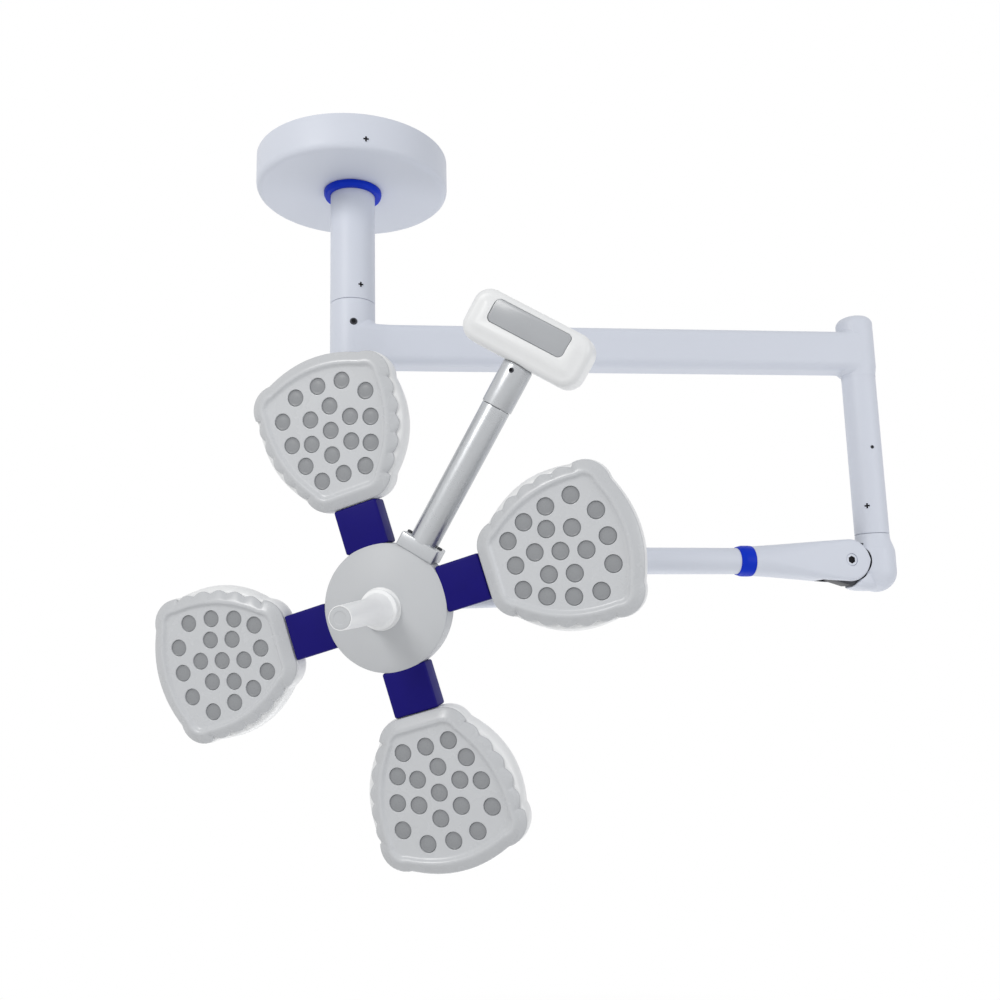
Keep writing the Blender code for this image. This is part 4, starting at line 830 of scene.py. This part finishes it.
def buildHub():
    b, body, pale = bracket, "head", "hubMoulding"
    flange = turned(b["profile"], place=toX)
    rib = softBox(b["rib"], b["ribEdge"], 2, shift(b["ribPlace"], 0, 0))
    shape = finishShape(joined(flange, rib, *earPair(b, upright)), bracketPlace)
    addPiece("hubBracket", shape, body, paint, "hub_bracket")
    addTurned("tiltPin", tiltPin, bracketPlace @ toY, body, "steel", "tilt_pin")
    addTurned("hubShell", hubShell, facePlace, body, pale, "hub_shell")
    c = hubCover
    corners = list(c["rim"])
    for ring in range(1, c["domeRings"] + 1):
        share = 1 - ring / c["domeRings"]
        height = c["domeLow"] + (c["domeTop"] - c["domeLow"]) * (1 - share ** 2)
        corners.append((c["domeRadius"] * share, height))
    addPiece("hubCover", turned(corners, c["steps"], facePlace), body, pale, "hub_cover")
    addTurned("handleStem", handleStem, facePlace, body, "whiteMoulding", "handle_stem")
    addTurned("sterileHandle", handle, facePlace, "handle", "handleLitMoulding", "sterile_handle")
    # the handle's end takes the grey pale finish as painted shade
    addTurned("handleEndShadeCap", handleShadeCap, facePlace, "handle", pale)


def buildConnector(number):
    c = connector
    length = c["end"] - c["start"]
    middle = shift(c["start"] + length / 2, 0, c["front"] - c["thick"] / 2)
    shape = softBox((length, c["width"], c["thick"]), c["edge"], 4,
                    facePlace @ spinZ(90 * number) @ middle)
    addPiece("petalConnector_%d" % number, shape, "head", "navyMoulding",
             "connector_%d" % number)


petal = {
    "core": ((0.052, -0.066), (0.052, 0.066), (-0.068, 0.029), (-0.068, -0.029)),
    "place": 0.24, "corner": 0.034, "outBulge": 0.015, "sideBulge": 0.0125, "scallops": 5,
    "scallopDepth": 0.0046, "cornerSteps": 12, "sideSteps": 16, "scallopSteps": 12,
    "coverLoops": (    # inset from the outline, height, share of the scallops, flange shade
        (0.003, -0.0052, 1, 1), (0.0018, -0.005, 1, 1), (0.0012, -0.0044, 1, 1),
        (0.0012, -0.0032, 1, 1), (0.0016, -0.0024, 1, 1), (0.0026, -0.0017, 0.96, 1),
        (0.005, -0.0004, 0.75, 1), (0.008, 0.0012, 0.45, 1), (0.011, 0.0027, 0.15, 1),
        (0.013, 0.0036, 0, 0.9), (0.0146, 0.0041, 0, 0.6), (0.0162, 0.0043, 0, 0.3),
        (0.0176, 0.004, 0, 0), (0.0188, 0.0031, 0, 0), (0.02, 0.0019, 0, 0),
        (0.0212, 0.0009, 0, 0), (0.0226, 0.0002, 0, 0), (0.024, 0, 0, 0)),
    "backLoops": (    # inset, height, swell of the long sides
        (0.006, -0.005, 0), (0.0038, -0.0054, 0), (0.0018, -0.0064, 0.0006),
        (0.0005, -0.0085, 0.0018), (0.0001, -0.012, 0.0034), (0.0001, -0.0185, 0.0048),
        (0.0004, -0.025, 0.005), (0.0013, -0.031, 0.005), (0.0033, -0.0365, 0.0046),
        (0.0067, -0.0415, 0.004), (0.0115, -0.0458, 0.0031), (0.0175, -0.0493, 0.002),
        (0.0235, -0.052, 0.001), (0.0285, -0.0535, 0.0003), (0.0312, -0.0539, 0))}
lens = {
    "profile": (
        (0, -0.0045), (0.0109, -0.0045), (0.0109, -0.002, 0.0003), (0.00981, -0.0014),
        (0.009374, -0.0017), (0.00654, -0.0013), (0.00327, -0.001), (0, -0.0009)),
    "steps": 32, "radius": 0.0109,
    "hole": ((0.0121, 0), (0.0117, 0), (0.0112, -0.0005), (0.0111, -0.0038)),
    "boardInset": 0.02, "boardLevel": -0.004, "hexagon": 0.032, "hexagonTurn": -14.5,
    "rows": (
        (0.061, 0), (0.057, 0.034), (0.033, 0.061), (-0.001, 0.0575), (-0.033, 0.0475),
        (-0.059, 0.0315), (-0.059, 0))}


def petalOutline(inset, height, scallop=0, swell=0):
    # the rounded shield of a petal, bowed on three sides and scalloped on the two long ones
    p = petal
    offset = p["corner"] - inset
    core = [Vector(point) for point in p["core"]]
    sideBulge = p["sideBulge"] + swell
    bulges = (p["outBulge"], sideBulge, 0.0, sideBulge)
    normals = []
    for i in range(4):
        along = (core[(i + 1) % 4] - core[i]).normalized()
        normals.append(Vector((along.y, -along.x)))
    points = []
    for i in range(4):
        start = math.atan2(normals[i - 1].y, normals[i - 1].x)
        sweep = abs(normals[i - 1].angle_signed(normals[i]))
        for step in range(p["cornerSteps"]):
            angle = start + sweep * step / p["cornerSteps"]
            points.append(core[i] + offset * Vector((math.cos(angle), math.sin(angle))))
        longSide = i in (1, 3)
        steps = p["scallopSteps"] * p["scallops"] if longSide else p["sideSteps"]
        for step in range(steps):
            t = step / steps
            rise = bulges[i] * 4 * t * (1 - t)
            if longSide:
                rise -= scallop * (1 - abs(math.sin(math.pi * p["scallops"] * t)))
            points.append(core[i].lerp(core[(i + 1) % 4], t) + normals[i] * (offset + rise))
    return [(x, y, height) for x, y in points]


def lensCentres():
    yield 0.0, 0.0
    for i in range(6):
        angle = math.radians(lens["hexagonTurn"] + 60 * i)
        yield lens["hexagon"] * math.cos(angle), lens["hexagon"] * math.sin(angle)
    for x, y in lens["rows"]:
        yield x, y
        if y:
            yield x, -y


def circleAt(x, y, radius, z, steps=32):
    angles = [math.tau * i / steps for i in range(steps)]
    return [(x + radius * math.cos(a), y + radius * math.sin(a), z) for a in angles]


def petalCover():
    # flange, raised lip and the flat panel that the lenses look through
    bm = bmesh.new()
    shade = bm.verts.layers.float.new("flange")
    ring = None
    for inset, height, share, tone in petal["coverLoops"]:
        points = petalOutline(inset, height, petal["scallopDepth"] * share)
        ring = grown(bm, ring, points) if ring else addLoop(bm, points)
        for edge in ring:
            for vert in edge.verts:
                vert[shade] = tone
    fillEdges = list(ring)
    for x, y in lensCentres():
        circle = addLoop(bm, circleAt(x, y, *lens["hole"][0]))
        fillEdges += circle
        for radius, z in lens["hole"][1:]:
            circle = grown(bm, circle, circleAt(x, y, radius, z))
    bmesh.ops.triangle_fill(bm, use_beauty=True, edges=fillEdges, normal=(0, 0, 1))
    return finishShape(bm, Matrix())


def petalBack():
    return lofted([petalOutline(inset, height, swell=swell)
                   for inset, height, swell in petal["backLoops"]])


def petalLenses():
    discs = [turned(lens["profile"], lens["steps"], shift(x, y, 0)) for x, y in lensCentres()]
    board = bmesh.new()
    outline = petalOutline(lens["boardInset"], lens["boardLevel"])
    board.faces.new([board.verts.new(point) for point in outline])
    return joined(board, *discs)


def markLenses(piece, place):
    # writes how far each point lies from its own lens's middle
    centres = [Vector((x, y)) for x, y in lensCentres()]
    inverse = place.inverted()
    radius = piece.data.attributes.new("lensRadius", "FLOAT", "POINT")
    for vert, item in zip(piece.data.vertices, radius.data):
        local = inverse @ vert.co
        nearest = min((local.xy - centre).length for centre in centres)
        item.value = min(1.0, nearest / lens["radius"])


def buildPetals():
    layers = (("petalBezel", petalCover(), "paleMoulding", "petal_bezel"),
              ("petalHousing", petalBack(), "whiteMoulding", "petal_housing"),
              ("petalLenses", petalLenses(), "lensPlastic", "lens_board"))
    for number in range(1, 5):
        place = facePlace @ spinZ(90 * number) @ shift(petal["place"], 0, 0)
        tag = "_%d" % number
        for name, shape, finish, node in layers:
            placed = finishShape(shape.copy(), place)
            piece = addPiece(name + tag, placed, "head", finish, node + tag, 50)
        markLenses(piece, place)    # the last layer made
    for name, shape, finish, node in layers:
        shape.free()


# side stalk and the pod at its end, X runs along the stalk and Z faces the front

collar = {
    "size": (0.0195, 0.054, 0.036), "middle": 0.08875, "end": 0.0985, "edge": 0.0022,
    "boltPlace": 0.0229}
stalk = {"profile": (
    (0, 0.096), (0.019, 0.096), (0.019, 0.2915, 0.001), (0.0125, 0.2915), (0.0125, 0.3355),
    (0, 0.3355))}
podSleeve = {"screw": (0.341, 0, 0.0203), "profile": (
    (0.0129, 0.292, 0.0004), (0.0203, 0.292, 0.001), (0.0203, 0.3475, 0.0012), (0.0189, 0.35),
    (0.0129, 0.35))}
pod = {
    "start": 0.3503, "height": 0.07, "width": 0.168, "thick": 0.056, "corner": 0.022,
    "edge": 0.011, "edgeSteps": 8, "crown": 0.004, "offset": 0.004,
    "crownLoops": ((0.005, 0.35), (0.01, 0))}    # inset past the edge, drop below the face
podPanel = {
    "middle": 0.046, "width": 0.108, "height": 0.031, "corner": 0.007, "sunk": 0.0016,
    "edge": 0.0008, "foot": 0.0062, "gap": 0.0006, "recess": 0.006, "recessEdge": 0.0012}


def buildStalk():
    c, metal = collar, "satinMetal"
    shape = softBox(c["size"], c["edge"], 3, stalkPlace @ shift(c["middle"], 0, 0))
    addPiece("stalkCollar", shape, "head", metal, "stalk_collar")
    for side, name in ((1, "left"), (-1, "right")):
        place = stalkPlace @ shift(c["end"], side * c["boltPlace"], 0) @ toX
        addScrew("stalkBolt_" + name, "stalkBolt", place, "head", "darkSteelAndShade",
                 "stalk_bolt_" + name)
    along = stalkPlace @ toX
    addTurned("stalkTube", stalk, along, "head", metal, "stalk_tube")
    addTurned("podSleeve", podSleeve, along, "pod", metal, "pod_sleeve")
    place = stalkPlace @ shift(*podSleeve["screw"])
    addScrew("podSetScrew", "setScrew", place, "pod", "darkSteelAndShade", "pod_set_screw")


def podLoop(inset, z):
    p = pod
    outline = ovalBox(p["height"] - 2 * inset, p["width"] - 2 * inset, p["corner"] - inset)
    return [(x, y, z) for x, y in outline]


def buildPod():
    p, w = pod, podPanel
    half = p["thick"] / 2
    sections = []
    for step in range(p["edgeSteps"] + 1):    # rounded edge up to the crowned face
        angle = math.pi / 2 * step / p["edgeSteps"]
        sections.append((p["edge"] * (1 - math.cos(angle)),
                         half - p["crown"] - p["edge"] * (1 - math.sin(angle))))
    sections += [(p["edge"] + inset, half - p["crown"] * share) for inset, share in p["crownLoops"]]
    loops = [podLoop(inset, -z) for inset, z in reversed(sections)]
    loops += [podLoop(inset, z) for inset, z in sections]
    shape = lofted(loops, shift(p["start"] + p["height"] / 2, p["offset"], 0))
    place = shift(p["start"] + w["middle"], p["offset"], 0)
    gap = w["gap"]
    outline = ovalBox(w["height"] + 2 * gap, w["width"] + 2 * gap, w["corner"] + gap)
    recess = slab(outline, half - w["recess"], half + w["recess"], place=place)
    shape = softEdges(combined(shape, recess), w["recessEdge"], 50, 3)
    addPiece("podHousing", finishShape(shape, stalkPlace), "pod", "whiteMoulding", "pod_housing",
             50)
    outline = ovalBox(w["height"], w["width"], w["corner"])
    panel = slab(outline, half - w["foot"], half - w["sunk"], w["edge"], 3, stalkPlace @ place)
    addPiece("podPanel", panel, "pod", "windowPlastic", "pod_panel")


buildHub()
for number in range(1, 5):
    buildConnector(number)
print("hub, handle and connectors built")
buildPetals()
print("petals built")
buildStalk()
buildPod()
print("stalk and pod built")


# what stays as the frame has it

keptNodes = {
    "steel": ("ceiling_plate", "arm_spindle", "elbow_spindle", "elbow_pivot_pin", "balance_spring",
              "parallel_rod", "knuckle_pin"),
    "bronze": ("arm_bush",)}
for finish, names in keptNodes.items():
    for name in names:
        mesh = frame["nodes"][name].data
        mesh.materials.clear()
        mesh.materials.append(finishes[finish])
print("kept nodes finished")


# studio

studio = {
    "floorPlace": (0.3, 0, -2.3), "floorRadius": 4.0, "floorColour": (0.8, 0.8, 0.8, 1),
    "fadeStart": 1.8, "fadeEnd": 3.8, "ambient": 0.58}
white = (1, 1, 1, 1)
lamps = {    # place, aimed at, size, watts, colour
    "keyLamp": ((-1.9, -2.3, 0.9), (0.15, -0.05, -0.65), 1.0, 40, (1.0, 0.99, 0.97)),
    "fillLamp": ((2.2, -2.0, -0.3), (0.3, -0.05, -0.65), 1.4, 14, (0.97, 0.98, 1.0)),
    "bounceLamp": ((0.4, 0.6, -2.2), (0.3, 0.1, -0.2), 2.0, 20, (1.0, 1.0, 1.0))}
view = {
    "place": (0.044, -1.4269, -0.7666), "yaw": 6.74, "pitch": 9.72, "roll": -1.41, "lens": 36.0,
    "sensor": 36.0, "nearest": 0.05}


def buildFloor():
    middle = Vector(studio["floorPlace"])
    bm = bmesh.new()
    bmesh.ops.create_circle(bm, cap_ends=True, segments=96, radius=studio["floorRadius"])
    bmesh.ops.translate(bm, vec=middle, verts=bm.verts[:])
    mesh = toMesh(bm, "studioFloor")
    floor = bpy.data.objects.new("studioFloor", mesh)
    scene.collection.objects.link(floor)
    material, shader, wire = newFinish("floorPaint", {
        "Base Color": studio["floorColour"], "Roughness": 0.8})
    place = wire.node("TexCoord", output="Object")
    place = wire.node("Mapping", {}, {"Vector": place, "Location": -middle})
    away = wire.node("VectorMath", {"operation": "LENGTH"}, {0: place}, output="Value")
    fade = wire.node("MapRange", {"interpolation_type": "SMOOTHSTEP"}, {
        "Value": away, "From Min": studio["fadeStart"], "From Max": studio["fadeEnd"]})
    glow = wire.node("Emission", {}, {"Color": white, "Strength": 1.0})
    mixed = wire.node("MixShader", {}, {0: fade, 1: Wire(wire.tree, shader.outputs[0]), 2: glow})
    wire.plug(mixed, wire.tree.nodes["Material Output"].inputs["Surface"])
    mesh.materials.append(material)


def buildLight():
    world = bpy.data.worlds.new("studioWorld")
    scene.world = world
    world.use_nodes = True
    wire = Wire(world.node_tree)
    rays = ("Is Camera Ray", "Is Glossy Ray", "Is Transmission Ray")
    seen = wire.maths("MINIMUM", sum(wire.node("LightPath", output=ray) for ray in rays), 1.0)
    background = world.node_tree.nodes["Background"]
    background.inputs["Color"].default_value = white
    strength = studio["ambient"] + (1 - studio["ambient"]) * seen
    wire.plug(strength, background.inputs["Strength"])
    for name, (place, target, size, watts, colour) in lamps.items():
        light = bpy.data.lights.new(name, "AREA")
        light.shape = "DISK"
        light.size = size
        light.energy = watts
        light.color = colour
        lamp = bpy.data.objects.new(name, light)
        scene.collection.objects.link(lamp)
        away = Vector(place) - Vector(target)
        facing = away.to_track_quat("Z", "Y").to_matrix().to_4x4()
        lamp.matrix_world = Matrix.Translation(place) @ facing


def buildCamera():
    lensData = bpy.data.cameras.new("photoView")
    lensData.sensor_width = view["sensor"]
    lensData.lens = view["lens"]
    lensData.clip_start = view["nearest"]
    camera = bpy.data.objects.new("photoView", lensData)
    scene.collection.objects.link(camera)
    raised = Matrix.Rotation(math.radians(90 + view["pitch"]), 4, "X")
    turn = spinZ(-view["yaw"]) @ raised @ spinZ(view["roll"])
    camera.matrix_world = Matrix.Translation(view["place"]) @ turn
    scene.camera = camera


buildFloor()
buildLight()
buildCamera()
scene.view_settings.view_transform = "Standard"
print("studio set")
